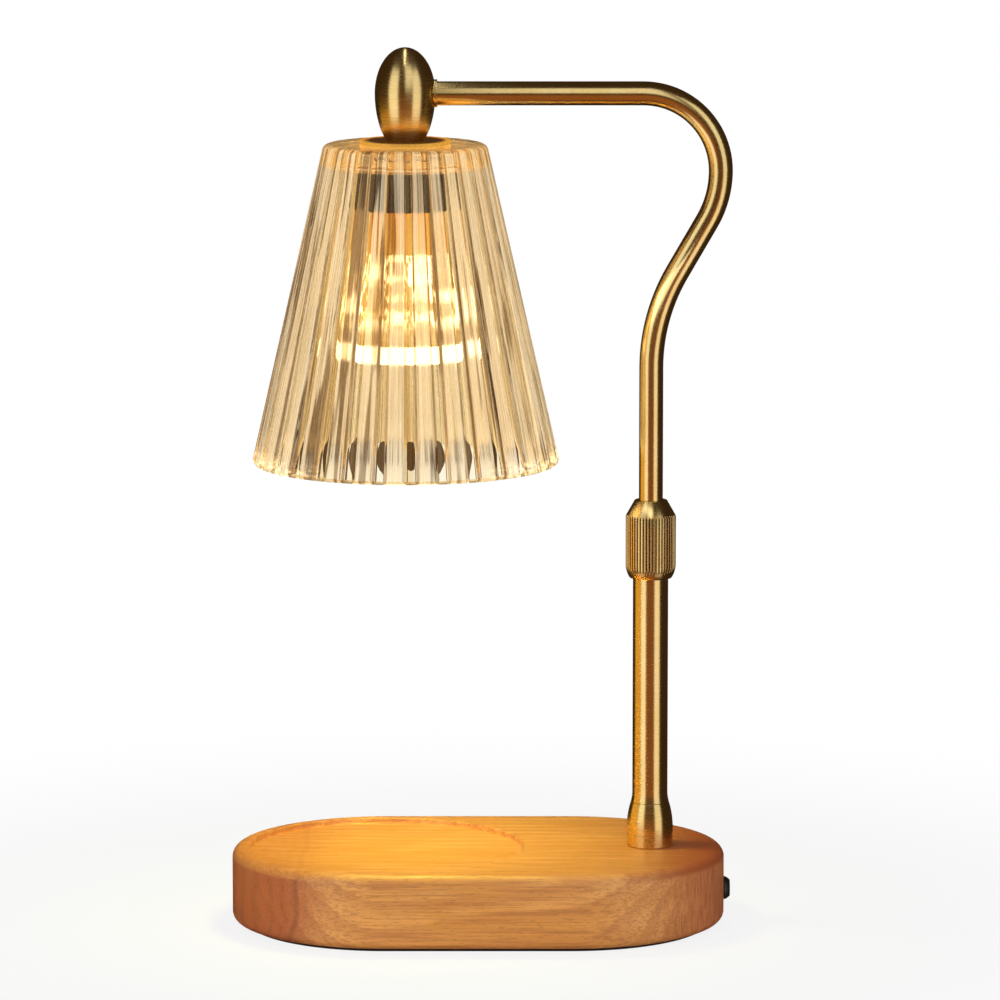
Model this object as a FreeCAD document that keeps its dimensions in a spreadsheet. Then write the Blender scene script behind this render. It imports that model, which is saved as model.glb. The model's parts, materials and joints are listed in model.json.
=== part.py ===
import FreeCAD, Part
import math
import os
import Sketcher
from FreeCAD import Placement, Rotation, Vector
from types import SimpleNamespace

# Candle warmer lamp: a wooden base with a recess for a candle jar, a post with a knurled clamp nut,
# a bent arm that slides and swivels in the post, and a fluted glass shade over a twist-lock bulb.
# Millimetres, +Z up, +X towards the post. The origin is on the surface the lamp stands on, under
# the middle of the base.

# Each driving dimension: its name in the sheet, its value, and what it measures.
DRIVING = (
    # the wooden base and what is under it
    ("base_length", 186.2, "base, end to end"),
    ("base_width", 116.3, "base, front to back; its ends are half circles of this width"),
    ("base_thickness", 28.0, "thickness of the wood"),
    ("base_top_round", 4.0, "rounding of the wood's top edge"),
    ("base_bottom_round", 3.5, "rounding of the wood's bottom edge"),
    ("recess_radius", 51.7, "recess that the jar stands in"),
    ("recess_depth", 2.2, "depth of that recess"),
    ("pad_thickness", 1.5, "foam pad under the base"),
    ("pad_inset", 6.0, "pad's edge, in from the wood's edge"),
    ("pad_window_gap", 1.0, "gap between the pad and the cover plate"),
    ("cavity_length", 56.0, "wiring cavity in the underside, end to end"),
    ("cavity_width", 30.0, "wiring cavity, front to back"),
    ("cavity_end_gap", 10.0, "from the post's axis to the cavity's right end"),
    ("cavity_roof", 9.0, "wood left over the cavity"),
    ("cover_margin", 8.0, "cover plate, out from the cavity's edge"),
    ("cover_thickness", 2.0, "cover plate"),
    ("cover_play", 0.3, "cover plate, in from its rebate"),
    ("cover_screw_radius", 1.5, "cover screw's thread"),
    ("cover_screw_head", 2.9, "cover screw's countersunk head, radius"),
    ("cover_screw_length", 10.0, "cover screw, overall"),
    ("slot_width", 0.7, "slot in a screw's head"),
    ("slot_depth", 0.8, "depth of that slot"),
    # the cord inlet in the base's right end
    ("gland_height", 13.0, "axis of the cord inlet"),
    ("gland_flange_radius", 4.4, "cord inlet's domed flange"),
    ("gland_flange_length", 2.3, "how far the flange stands out"),
    ("gland_sleeve_radius", 3.7, "sleeve pushed into the wood"),
    ("gland_sleeve_length", 14.0, "length of that sleeve"),
    ("gland_bore_radius", 2.6, "hole for the cord"),
    # the post
    ("column_x", 65.0, "axis of the post"),
    ("ferrule_length", 17.0, "flared foot of the post"),
    ("ferrule_foot_radius", 8.7, "foot, at the wood"),
    ("ferrule_top_radius", 7.3, "foot, where the tube stands on it"),
    ("ferrule_foot_band", 5.5, "straight band at the foot's bottom"),
    ("ferrule_thread_depth", 11.5, "thread for the mounting stud"),
    ("ferrule_spigot_length", 8.0, "spigot inside the tube"),
    ("post_radius", 6.65, "post tube, outside"),
    ("tube_wall", 1.0, "wall of both brass tubes"),
    ("post_length", 88.5, "post tube, from the foot to its top end"),
    ("post_flare_radius", 7.15, "flare at the tube's bottom end"),
    ("post_flare_length", 3.5, "length of that flare"),
    ("stud_radius", 5.0, "hollow threaded stud and nipple, outside"),
    ("stud_bore_radius", 3.2, "their bore for the lead"),
    ("washer_radius", 8.5, "washer under the wood"),
    ("washer_thickness", 1.2, "that washer"),
    ("lock_washer_radius", 7.8, "split lock washer"),
    ("lock_washer_thickness", 1.6, "that lock washer"),
    ("nut_across_flats", 14.0, "both hexagon nuts"),
    ("nut_thickness", 5.0, "nut under the wood"),
    # the clamp at the post's top
    ("bush_spigot_length", 12.0, "threaded bush, inside the tube"),
    ("bush_collar_length", 2.0, "threaded bush, collar on the tube's end"),
    ("bush_thread_radius", 6.5, "thread under the clamp nut"),
    ("bush_thread_length", 14.0, "length of that thread"),
    ("collet_radius", 5.55, "split clamping sleeve, outside"),
    ("collet_seat_depth", 8.0, "how deep the sleeve sits in the bush"),
    ("collet_cone_radius", 6.35, "sleeve's cone at its wide end"),
    ("collet_band", 1.0, "straight band under the cone"),
    ("collet_cone_length", 6.0, "length of that cone"),
    ("collet_tip_radius", 4.95, "cone's narrow end"),
    ("collet_slot_width", 0.8, "saw cuts that let the sleeve close"),
    ("collet_slot_count", 4, "number of saw cuts"),
    ("nut_skirt", 2.6, "clamp nut, below the tube's top end"),
    ("clamp_radius", 9.45, "clamp nut over its knurl"),
    ("clamp_foot_radius", 8.1, "clamp nut, bottom edge"),
    ("clamp_foot_length", 6.1, "rounded bottom of the clamp nut"),
    ("clamp_foot_arc", 10.0, "radius of that rounding"),
    ("clamp_knurl_length", 23.5, "clamp nut, bottom edge to the end of the knurl"),
    ("clamp_cone_length", 6.0, "smooth cone over the knurl"),
    ("clamp_nose_radius", 6.0, "clamp nut, top edge"),
    ("knurl_count", 48, "grooves of the straight knurl"),
    ("knurl_depth", 0.45, "depth of a groove"),
    ("knurl_width", 0.8, "width of a groove"),
    # the arm
    ("arm_radius", 4.5, "arm tube, outside"),
    ("arm_height", 315.15, "axis of the arm's level stretch"),
    ("arm_reach", 92.1, "from the post's axis to the shade's axis"),
    ("arm_bend_offset", 3.3, "where the bend starts, short of the post's axis"),
    ("arm_bend_radius", 29.0, "upper quarter of the bend"),
    ("arm_tail_radius", 38.0, "bend below it, past upright"),
    ("arm_lean", 30.0, "how far the stretch below leans, degrees"),
    ("arm_wave_radius", 72.0, "bend back to upright"),
    ("height_up", 25.0, "how far the arm can be raised"),
    ("guide_length", 10.0, "nylon guide on the arm's lower end"),
    ("stop_gap", 0.2, "gap left at the raised stop"),
    ("grommet_flange", 1.0, "edge protector on the arm's lower end"),
    ("grommet_length", 5.0, "its sleeve inside the tube"),
    # the lamp head and the fixing of the shade
    ("head_radius", 11.5, "egg-shaped head at its widest"),
    ("head_rise", 17.2, "head, above the arm's axis"),
    ("head_drop", 17.5, "head's flat bottom, below the arm's axis"),
    ("head_foot_radius", 7.1, "head's flat bottom"),
    ("head_bore_rise", 6.0, "head's inner bore, above the arm's axis"),
    ("head_thread_depth", 8.0, "nipple, inside the head"),
    ("arm_seat_offset", 10.8, "flat that the arm's ring sits on, from the head's axis"),
    ("arm_seat_radius", 5.6, "that flat"),
    ("seat_ring_radius", 5.2, "ring where the arm meets the head"),
    ("seat_ring_length", 1.2, "that ring"),
    ("top_gasket_radius", 17.0, "silicone gasket on the glass"),
    ("top_gasket_thickness", 1.5, "that gasket"),
    ("under_gasket_radius", 8.2, "silicone gasket under the glass"),
    ("under_gasket_thickness", 1.5, "that gasket"),
    ("shade_washer_radius", 7.8, "steel washer under it"),
    ("shade_washer_thickness", 1.0, "that washer"),
    ("shade_nut_thickness", 3.5, "nut inside the holder's cup"),
    # the glass shade
    ("shade_height", 120.1, "glass, top to rim"),
    ("shade_rim_radius", 57.8, "glass, outside, at the rim"),
    ("shade_crown_radius", 30.55, "glass, outside, at the top"),
    ("shade_wall", 4.2, "wall, measured level"),
    ("shade_plate", 7.0, "thickness of the top"),
    ("shade_hole_radius", 5.4, "hole for the nipple"),
    ("shade_crown_round", 2.6, "rounding of the crown"),
    ("shade_rim_round", 1.4, "rounding of the rim"),
    ("flute_count", 30, "flutes around the glass"),
    ("flute_depth", 1.3, "depth of a flute at the rim"),
    ("flute_floor", 3.2, "flute's floor at the rim"),
    ("flute_mouth", 5.4, "flute's mouth at the rim"),
    ("shade_turn", 8.8, "first flute, round from +X, degrees"),
    # the lampholder
    ("cup_radius", 16.5, "holder's cup, outside"),
    ("cup_wall", 1.0, "wall of the cup"),
    ("cup_length", 14.8, "cup, overall"),
    ("cup_bevel", 0.8, "bevel of the cup's shoulder"),
    ("block_thickness", 9.0, "ceramic block"),
    ("block_play", 0.3, "ceramic block, in from the cup"),
    ("block_set_back", 0.25, "block's face, above the cup's rim"),
    ("block_plate", 2.5, "plate that the pins hook over"),
    ("block_channel", 4.5, "channel over that plate"),
    ("boss_radius", 2.8, "two bosses on top of the block"),
    ("boss_offset", 10.8, "bosses, from the axis"),
    ("holder_screw_radius", 1.25, "screws that hold the block"),
    ("holder_screw_head", 2.3, "their heads, radius"),
    ("holder_screw_head_height", 1.6, "height of their heads"),
    ("holder_screw_bite", 5.0, "how deep they go into the block"),
    ("contact_thickness", 0.4, "contact springs"),
    # the bulb
    ("pin_offset", 5.0, "bulb's pins, from the axis"),
    ("pin_neck_radius", 1.5, "neck of a pin"),
    ("pin_head_radius", 2.4, "head of a pin"),
    ("pin_head_length", 3.4, "length of that head"),
    ("pin_play", 0.3, "clearance of pins and bulb in the block"),
    ("twist_angle", 30.0, "turn that frees the bulb, degrees"),
    ("bulb_neck_top_radius", 11.0, "bulb's ceramic base, top"),
    ("bulb_neck_radius", 13.6, "bulb's ceramic base, bottom"),
    ("bulb_neck_length", 16.0, "bulb's ceramic base"),
    ("bulb_shoulder", 2.2, "chamfer of the base's top"),
    ("reflector_radius", 25.0, "reflector's mouth"),
    ("reflector_length", 33.0, "reflector, neck to mouth"),
    ("reflector_arc", 62.0, "curve of the reflector's side"),
    ("reflector_wall", 1.2, "wall of the reflector"),
    ("bezel_radius", 25.3, "ring around the front glass"),
    ("bezel_length", 6.7, "that ring"),
    ("bezel_wall", 1.6, "wall of that ring"),
    ("bezel_lip", 1.3, "lip that holds the front glass"),
    ("lens_thickness", 2.4, "front glass"),
    ("capsule_radius", 4.6, "light source inside the reflector"),
    ("capsule_length", 25.0, "length of it"),
    # the wiring
    ("lead_radius", 1.8, "lead inside the post and the arm"),
    ("lead_head_bend", 8.0, "lead's bend inside the head"),
    ("terminal_length", 20.0, "terminal box, along X"),
    ("terminal_width", 20.0, "terminal box, along Y"),
    ("terminal_height", 15.0, "terminal box, down from the cavity's roof"),
    ("terminal_left_gap", 5.0, "terminal box, from the cavity's left end"),
    ("terminal_edge", 1.5, "bevel of its upright edges"),
    ("terminal_entry_height", 2.8, "its lead hole, above its lower face"),
    ("terminal_entry_depth", 8.0, "depth of its two holes"),
    ("terminal_cord_offset", 6.0, "its cord hole, beside the lead hole"),
    ("terminal_cord_height", 7.5, "its cord hole, above its lower face"),
    # clearances
    ("running_gap", 0.05, "radial clearance of a part that turns or slides"),
    ("seat_gap", 0.05, "radial clearance of a part that is fixed in another"),
    ("through_gap", 0.2, "radial clearance of a stud or tube through a hole"),
)

OVERSHOOT = 2.0  # how far a cutting tool runs past the face it opens
TOLERANCE = 0.01  # how near an edge lies to the place it is looked for
TOWARDS_X = Rotation(Vector(0, 1, 0), 90)  # turns a piece's own axis from +Z to +X


class Size:
    """A size and the sheet formula that gives it, so that what is built stays bound to the sheet."""

    def __init__(self, value, formula):
        self.value = value
        self.formula = formula

    def __float__(self):
        return float(self.value)

    def __add__(self, other):
        return Size(self.value + number(other), f"({self.formula} + {formula(other)})")

    def __radd__(self, other):
        return Size(number(other) + self.value, f"({formula(other)} + {self.formula})")

    def __sub__(self, other):
        return Size(self.value - number(other), f"({self.formula} - {formula(other)})")

    def __rsub__(self, other):
        return Size(number(other) - self.value, f"({formula(other)} - {self.formula})")

    def __mul__(self, other):
        return Size(self.value * number(other), f"({self.formula} * {formula(other)})")

    def __rmul__(self, other):
        return Size(number(other) * self.value, f"({formula(other)} * {self.formula})")

    def __truediv__(self, other):
        return Size(self.value / number(other), f"({self.formula} / {formula(other)})")

    def __neg__(self):
        return Size(-self.value, f"(0 - {self.formula})")


def number(size):
    return size.value if isinstance(size, Size) else float(size)


def formula(size):
    return size.formula if isinstance(size, Size) else f"{float(size):.6f}"


def sine(angle):
    return Size(math.sin(math.radians(number(angle))), f"sin({formula(angle)})")


def cosine(angle):
    return Size(math.cos(math.radians(number(angle))), f"cos({formula(angle)})")


def square_root(size):
    return Size(math.sqrt(number(size)), f"sqrt({formula(size)})")


def size_sheet(doc):
    """Write the driving dimensions to the sheet and return them as sizes, by name."""
    sheet = doc.addObject("Spreadsheet::Sheet", "Sizes")
    sizes = {}
    for row, (name, value, meaning) in enumerate(DRIVING, start=1):
        sheet.set(f"A{row}", name)
        sheet.set(f"B{row}", str(value))
        sheet.set(f"C{row}", meaning)
        sheet.setAlias(f"B{row}", name)
        sizes[name] = Size(value, f"Sizes.{name}")
    doc.recompute()
    return SimpleNamespace(**sizes)


doc = FreeCAD.newDocument("candle_warmer_lamp")
s = size_sheet(doc)
subparts = []

# Levels and places that several pieces share, from the bottom up.
end_radius = s.base_width / 2
end_centre_x = (s.base_length - s.base_width) / 2
wood_bottom = s.pad_thickness
wood_top = wood_bottom + s.base_thickness
cavity_radius = s.cavity_width / 2
cavity_half_span = (s.cavity_length - s.cavity_width) / 2
cavity_right = s.column_x + s.cavity_end_gap
cavity_x = cavity_right - s.cavity_length / 2
cavity_top = wood_top - s.cavity_roof
terminal_left = cavity_right - s.cavity_length + s.terminal_left_gap
cover_radius = cavity_radius + s.cover_margin
stud_bottom = cavity_top - s.washer_thickness - s.lock_washer_thickness - s.nut_thickness
ferrule_top = wood_top + s.ferrule_length
post_bore = s.post_radius - s.tube_wall
post_top = ferrule_top + s.post_length
spigot_top = ferrule_top + s.ferrule_spigot_length
bush_bottom = post_top - s.bush_spigot_length
thread_bottom = post_top + s.bush_collar_length
thread_top = thread_bottom + s.bush_thread_length
clamp_bottom = post_top - s.nut_skirt
collet_foot = thread_top - s.collet_seat_depth + s.stop_gap
collet_cone_start = thread_top + s.collet_band
arm_bore = s.arm_radius - s.tube_wall
guide_top = bush_bottom - s.stop_gap - s.height_up
arm_bottom = guide_top - s.guide_length
lead_joint = arm_bottom - s.grommet_flange
shade_x = s.column_x - s.arm_reach
head_bottom = s.arm_height - s.head_drop
glass_top = head_bottom - s.top_gasket_thickness
glass_ceiling = glass_top - s.shade_plate
under_gasket_bottom = glass_ceiling - s.under_gasket_thickness
cup_top = under_gasket_bottom - s.shade_washer_thickness
cup_ceiling = cup_top - s.cup_wall
shade_nut_bottom = cup_ceiling - s.shade_nut_thickness
cup_bottom = cup_top - s.cup_length
block_face = cup_bottom + s.block_set_back
block_top = block_face + s.block_thickness
bulb_top = block_face - s.pin_play
channel_bottom = block_face + s.block_plate
channel_top = channel_bottom + s.block_channel
neck_bottom = bulb_top - s.bulb_neck_length
mouth = neck_bottom - s.reflector_length
bezel_bottom = mouth - s.bezel_length
capsule_start = neck_bottom


# ---------------------------------------------------------------- ways of making a piece

def keep(piece):
    """Count an object as one of the lamp's sub-parts, under the name that its label gives."""
    subparts.append(piece)
    return piece


def bind(thing, name, size):
    """Set a property, or a named constraint, from the sheet."""
    thing.setExpression(name, formula(size))


def put(thing, x=0.0, y=0.0, z=0.0, rotation=None):
    """Place an object at sizes from the sheet."""
    thing.Placement = Placement(Vector(number(x), number(y), number(z)), rotation or Rotation())
    for axis, size in zip("xyz", (x, y, z)):
        if isinstance(size, Size):
            bind(thing, f"Placement.Base.{axis}", size)
    return thing


def origin_of(body, role):
    return next(feature for feature in body.Origin.OriginFeatures if feature.Role == role)


def new_body(label, x=0.0, y=0.0, z=0.0, rotation=None):
    body = doc.addObject("PartDesign::Body", label)
    body.Label = label
    return put(body, x, y, z, rotation)


def new_sketch(body, name, plane="XY_Plane", level=0.0):
    """A sketch on one of the body's own origin planes, or at a level over it."""
    sketch = body.newObject("Sketcher::SketchObject", name)
    sketch.AttachmentSupport = (origin_of(body, plane), [""])
    sketch.MapMode = "FlatFace"
    sketch.AttachmentOffset = Placement(Vector(0, 0, number(level)), Rotation())
    if isinstance(level, Size):
        bind(sketch, "AttachmentOffset.Base.z", level)
    return sketch


def constrain(sketch, kind, *where, size=None, name=""):
    """Add a constraint; one with a size is named and bound to the sheet."""
    if size is None:
        return sketch.addConstraint(Sketcher.Constraint(kind, *where))
    index = sketch.addConstraint(Sketcher.Constraint(kind, *where, number(size)))
    sketch.renameConstraint(index, name)
    if isinstance(size, Size):
        bind(sketch, f"Constraints.{name}", size)
    return index


def pin_point(sketch, geometry, point, x, y, name):
    """Fix a point of a sketch at two sizes from its origin."""
    for kind, size, axis_line, letter in (("DistanceX", x, -2, "x"), ("DistanceY", y, -1, "y")):
        if number(size) == 0:
            constrain(sketch, "PointOnObject", geometry, point, axis_line)
        else:
            constrain(sketch, kind, -1, 1, geometry, point, size=size, name=f"{name}_{letter}")


def arc_between(start, end, radius):
    """The short arc from start to end; it bulges to the right of the way if radius is positive."""
    chord = end - start
    middle = (start + end) / 2
    depth = math.sqrt(radius * radius - (chord.Length / 2) ** 2)
    left = Vector(-chord.y, chord.x, 0).normalize()
    centre = middle + left * math.copysign(depth, radius)
    bulge = centre - left * math.copysign(abs(radius), radius)
    return Part.Arc(start, bulge, end)


def outline(body, name, plane, corners, level=0.0):
    """A closed outline. Each corner is (x, y), or (x, y, radius) where the next side is an arc."""
    sketch = new_sketch(body, name, plane, level)
    points = [Vector(number(corner[0]), number(corner[1]), 0) for corner in corners]
    for index, corner in enumerate(corners):
        start = points[index]
        end = points[(index + 1) % len(points)]
        if len(corner) > 2:
            arc = arc_between(start, end, number(corner[2]))
            sketch.addGeometry(arc)
        else:
            sketch.addGeometry(Part.LineSegment(start, end))
    ends = [end_points(sketch, index) for index in range(len(corners))]
    for index, corner in enumerate(corners):
        following = (index + 1) % len(corners)
        constrain(sketch, "Coincident", index, ends[index][1], following, ends[following][0])
        pin_point(sketch, index, ends[index][0], corner[0], corner[1], f"corner{index}")
        if len(corner) > 2:
            radius = corner[2] if number(corner[2]) > 0 else -corner[2]
            constrain(sketch, "Radius", index, size=radius, name=f"arc{index}")
    return sketch


def end_points(sketch, index):
    """Numbers of a side's first and last point: an arc that runs clockwise is stored reversed."""
    geometry = sketch.Geometry[index]
    if isinstance(geometry, Part.ArcOfCircle) and arc_is_reversed(geometry):
        return 2, 1
    return 1, 2


def arc_is_reversed(arc):
    return arc.Axis.z < 0


def pad(body, sketch, name, length):
    feature = body.newObject("PartDesign::Pad", name)
    feature.Profile = sketch
    bind(feature, "Length", length)
    doc.recompute()
    return feature


def pocket(body, sketch, name, length, reverse=True):
    """Cut a sketch's outline out of the body; reverse cuts on the side the sketch faces."""
    before = body.Shape.Volume
    feature = body.newObject("PartDesign::Pocket", name)
    feature.Profile = sketch
    feature.Reversed = reverse
    bind(feature, "Length", length)
    doc.recompute()
    assert body.Shape.Volume < before, f"{name} cuts nothing"
    return feature


def revolve(body, sketch, name):
    feature = body.newObject("PartDesign::Revolution", name)
    feature.Profile = sketch
    feature.ReferenceAxis = (sketch, ["V_Axis"])
    feature.Angle = 360
    doc.recompute()
    return feature


def pattern(body, features, name, count, angle=360.0):
    """Repeat features around the body's own Z axis."""
    before = body.Shape.Volume
    turned_copies = body.newObject("PartDesign::PolarPattern", name)
    turned_copies.Originals = features
    turned_copies.Axis = (origin_of(body, "Z_Axis"), [""])
    turned_copies.Angle = angle
    if isinstance(count, Size):
        bind(turned_copies, "Occurrences", count)
    else:
        turned_copies.Occurrences = count
    body.Tip = turned_copies
    doc.recompute()
    assert body.Shape.Volume < before, f"{name} repeats nothing"
    return turned_copies


def dress(body, kind, name, radius, edges):
    """Round (kind Fillet) or bevel (kind Chamfer) the edges that a test picks."""
    base = body.Tip
    names = [f"Edge{n}" for n, edge in enumerate(base.Shape.Edges, start=1) if edges(edge)]
    assert names, f"{name} finds no edge"
    feature = body.newObject(f"PartDesign::{kind}", name)
    feature.Base = (base, names)
    bind(feature, "Radius" if kind == "Fillet" else "Size", radius)
    doc.recompute()
    return feature


def ring_at(radius, height):
    """Picks the circular edges of a radius around the body's axis, at a height."""
    def picks(edge):
        curve = edge.Curve
        if curve.TypeId != "Part::GeomCircle" or math.hypot(curve.Center.x, curve.Center.y) > TOLERANCE:
            return False
        level = abs(curve.Center.z - number(height))
        return level < TOLERANCE and abs(curve.Radius - number(radius)) < TOLERANCE
    return picks


def all_at(height):
    """Picks the edges that lie level at a height."""
    def picks(edge):
        box = edge.BoundBox
        return max(abs(box.ZMin - number(height)), abs(box.ZMax - number(height))) < TOLERANCE
    return picks


def turned(label, corners, x=0.0, z=0.0, rotation=None):
    """A turned piece: corners are (radius, height) above its own foot."""
    body = new_body(label, x=x, z=z, rotation=rotation)
    profile = outline(body, f"{label}_profile", "XZ_Plane", corners)
    revolve(body, profile, f"{label}_turning")
    return keep(body)


def sleeve(label, outer, inner, length, x=0.0, z=0.0, rotation=None):
    """A plain tube or washer."""
    corners = ((inner, 0), (outer, 0), (outer, length), (inner, length))
    return turned(label, corners, x=x, z=z, rotation=rotation)


def obround_outline(body, name, half_span, radius, x=0.0, level=0.0):
    """Two half circles joined by straight sides, along X."""
    sketch = new_sketch(body, name, "XY_Plane", level)
    middle = number(x)
    span = number(half_span)
    size = number(radius)
    right = Vector(middle + span, 0, 0)
    left = Vector(middle - span, 0, 0)
    up = Vector(0, size, 0)
    out = Vector(size, 0, 0)
    sketch.addGeometry([
        Part.Arc(right - up, right + out, right + up),
        Part.LineSegment(right + up, left + up),
        Part.Arc(left + up, left - out, left - up),
        Part.LineSegment(left - up, right - up),
    ])
    for first, second in ((0, 1), (1, 2), (2, 3), (3, 0)):
        constrain(sketch, "Tangent", first, 2, second, 1)
    constrain(sketch, "Radius", 0, size=radius, name="end_radius")
    constrain(sketch, "PointOnObject", 2, 3, -1)
    constrain(sketch, "DistanceX", -1, 1, 0, 3, size=x + half_span, name="right_centre")
    constrain(sketch, "DistanceX", 2, 3, 0, 3, size=half_span * 2, name="span")
    constrain(sketch, "Horizontal", 1)
    return sketch


def circle_outline(body, name, centres, radius, plane="XY_Plane", level=0.0):
    """Circles of one radius at (x, y) centres."""
    sketch = new_sketch(body, name, plane, level)
    for index, (x, y) in enumerate(centres):
        middle = Vector(number(x), number(y), 0)
        sketch.addGeometry(Part.Circle(middle, Vector(0, 0, 1), number(radius)))
        pin_point(sketch, index, 3, x, y, f"centre{index}")
        constrain(sketch, "Radius", index, size=radius, name=f"radius{index}")
    return sketch


def boolean(kind, label, base, tool):
    """A Part::Cut or a Part::Fuse of two objects."""
    result = doc.addObject(f"Part::{kind}", label)
    result.Label = label
    result.Base = base
    result.Tool = tool
    return result


def cylinder(name, radius, length, x=0.0, y=0.0, z=0.0, rotation=None):
    solid = doc.addObject("Part::Cylinder", name)
    bind(solid, "Radius", radius)
    bind(solid, "Height", length)
    return put(solid, x, y, z, rotation)


def hexagon_nut(label, thickness, x, z):
    """A hexagon nut on the stud's thread, its thread drawn as a plain bore."""
    nut = doc.addObject("Part::Prism", f"{label}_hexagon")
    nut.Polygon = 6
    bind(nut, "Circumradius", s.nut_across_flats / 2 / cosine(30))
    bind(nut, "Height", thickness)
    put(nut, x=x, z=z)
    bore = cylinder(f"{label}_bore", s.stud_radius + s.seat_gap, thickness + 2 * OVERSHOOT,
                    x=x, z=z - OVERSHOOT)
    return keep(boolean("Cut", label, nut, bore))


def solid_feature(label, shape, placement=None):
    """A sub-part whose shape is made directly."""
    feature = doc.addObject("Part::Feature", label)
    feature.Label = label
    feature.Shape = shape
    feature.Placement = placement or Placement()
    return keep(feature)


def copies(shape, places):
    """The same solid at several places, as one compound."""
    moved = []
    for place in places:
        copy = shape.copy()
        copy.Placement = place.multiply(copy.Placement)
        moved.append(copy)
    return Part.makeCompound(moved)


def solid_cylinder(radius, length, at=Vector(), along=Vector(0, 0, 1)):
    return Part.makeCylinder(number(radius), number(length), at, along)


# ---------------------------------------------------------------- the base

def wood_base():
    """A solid block with rounded ends, a recess for the jar and a wiring cavity in its underside."""
    body = new_body("wood_base", z=wood_bottom)
    block = obround_outline(body, "block_outline", end_centre_x, end_radius)
    pad(body, block, "block", s.base_thickness)
    recess = circle_outline(body, "recess_outline", [(-end_centre_x, 0)], s.recess_radius,
                            level=s.base_thickness - s.recess_depth)
    pocket(body, recess, "recess", s.recess_depth + OVERSHOOT)
    cavity = obround_outline(body, "cavity_outline", cavity_half_span, cavity_radius, x=cavity_x,
                             level=s.base_thickness - s.cavity_roof)
    pocket(body, cavity, "cavity", s.base_thickness, reverse=False)
    rebate = obround_outline(body, "cover_rebate_outline", cavity_half_span, cover_radius, x=cavity_x,
                             level=s.cover_thickness)
    pocket(body, rebate, "cover_rebate", s.cover_thickness + OVERSHOOT, reverse=False)
    stud_hole = circle_outline(body, "stud_hole_outline", [(s.column_x, 0)], s.stud_radius + s.through_gap)
    pocket(body, stud_hole, "stud_hole", s.base_thickness + OVERSHOOT)
    pilots = circle_outline(body, "pilot_outline", cover_screw_places(), s.cover_screw_radius)
    pocket(body, pilots, "pilots", s.cover_screw_length)
    cord_bore(body, "gland_bore", s.gland_sleeve_radius + s.seat_gap, s.gland_sleeve_length)
    passage_length = s.base_length / 2 - cavity_right + OVERSHOOT
    cord_bore(body, "cord_passage", s.gland_bore_radius + s.through_gap, passage_length)
    dress(body, "Fillet", "top_edge", s.base_top_round, outer_edge_at(s.base_thickness))
    dress(body, "Fillet", "bottom_edge", s.base_bottom_round, outer_edge_at(0))
    return keep(body)


def outer_edge_at(height):
    """Picks the base's own outline at a height."""
    level = all_at(height)
    reach = number(end_centre_x)
    far = number(end_radius)

    def picks(edge):
        middle = edge.valueAt((edge.FirstParameter + edge.LastParameter) / 2)
        out = math.hypot(max(abs(middle.x) - reach, 0.0), middle.y)
        return level(edge) and abs(out - far) < TOLERANCE
    return picks


def cord_bore(body, name, radius, depth):
    """A bore along X from the base's right end."""
    tool = body.newObject("PartDesign::SubtractiveCylinder", name)
    bind(tool, "Radius", radius)
    bind(tool, "Height", depth + OVERSHOOT)
    put(tool, x=s.base_length / 2 - depth, z=s.gland_height - wood_bottom, rotation=TOWARDS_X)
    doc.recompute()


def cover_screw_places():
    """Four screws through the cover plate, beside the cavity, where its round ends begin."""
    across = (cavity_radius + cover_radius) / 2
    return [(cavity_x + cavity_half_span * end, across * side) for end in (-1, 1) for side in (-1, 1)]


def base_pad():
    """Foam pad under the wood, with a window that leaves the cover plate free."""
    body = new_body("base_pad")
    sheet = obround_outline(body, "pad_outline", end_centre_x, end_radius - s.pad_inset)
    pad(body, sheet, "pad_sheet", s.pad_thickness)
    window_radius = cover_radius + s.pad_window_gap
    window = obround_outline(body, "window_outline", cavity_half_span, window_radius, x=cavity_x)
    pocket(body, window, "window", s.pad_thickness)
    return keep(body)


def base_cover():
    """Plate over the wiring cavity, let into the wood, with four countersunk holes."""
    body = new_body("base_cover", z=wood_bottom)
    plate = obround_outline(body, "plate_outline", cavity_half_span, cover_radius - s.cover_play, x=cavity_x)
    pad(body, plate, "plate", s.cover_thickness)
    holes = circle_outline(body, "screw_holes", cover_screw_places(), s.cover_screw_radius)
    before = body.Shape.Volume
    countersunk = body.newObject("PartDesign::Hole", "countersunk_holes")
    countersunk.Profile = holes
    countersunk.DepthType = "ThroughAll"
    countersunk.Reversed = True
    bind(countersunk, "Diameter", (s.cover_screw_radius + s.through_gap) * 2)
    countersunk.HoleCutType = "Countersink"
    countersunk.HoleCutCustomValues = True
    bind(countersunk, "HoleCutDiameter", (s.cover_screw_head + s.through_gap) * 2)
    countersunk.HoleCutCountersinkAngle = 90
    doc.recompute()
    assert body.Shape.Volume < before, "the cover's holes cut nothing"
    return keep(body)


def cover_screws():
    """Four countersunk wood screws, heads down."""
    head_height = s.cover_screw_head - s.cover_screw_radius
    head = Part.makeCone(number(s.cover_screw_head), number(s.cover_screw_radius), number(head_height))
    shank_length = s.cover_screw_length - head_height
    shank = solid_cylinder(s.cover_screw_radius - s.seat_gap, shank_length, Vector(0, 0, number(head_height)))
    screw = head.fuse(shank).cut(screw_slot(s.cover_screw_head))
    places = [Placement(Vector(number(x), number(y), number(wood_bottom)), Rotation())
              for x, y in cover_screw_places()]
    return solid_feature("cover_screws", copies(screw, places))


def screw_slot(head_radius):
    """Cutter for a screw's slot, across the lower face of a head that stands at z 0."""
    width = number(s.slot_width)
    depth = number(s.slot_depth)
    reach = number(head_radius) + OVERSHOOT
    slot = Part.makeBox(2 * reach, width, depth + OVERSHOOT)
    slot.translate(Vector(-reach, -width / 2, -OVERSHOOT))
    return slot


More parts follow.
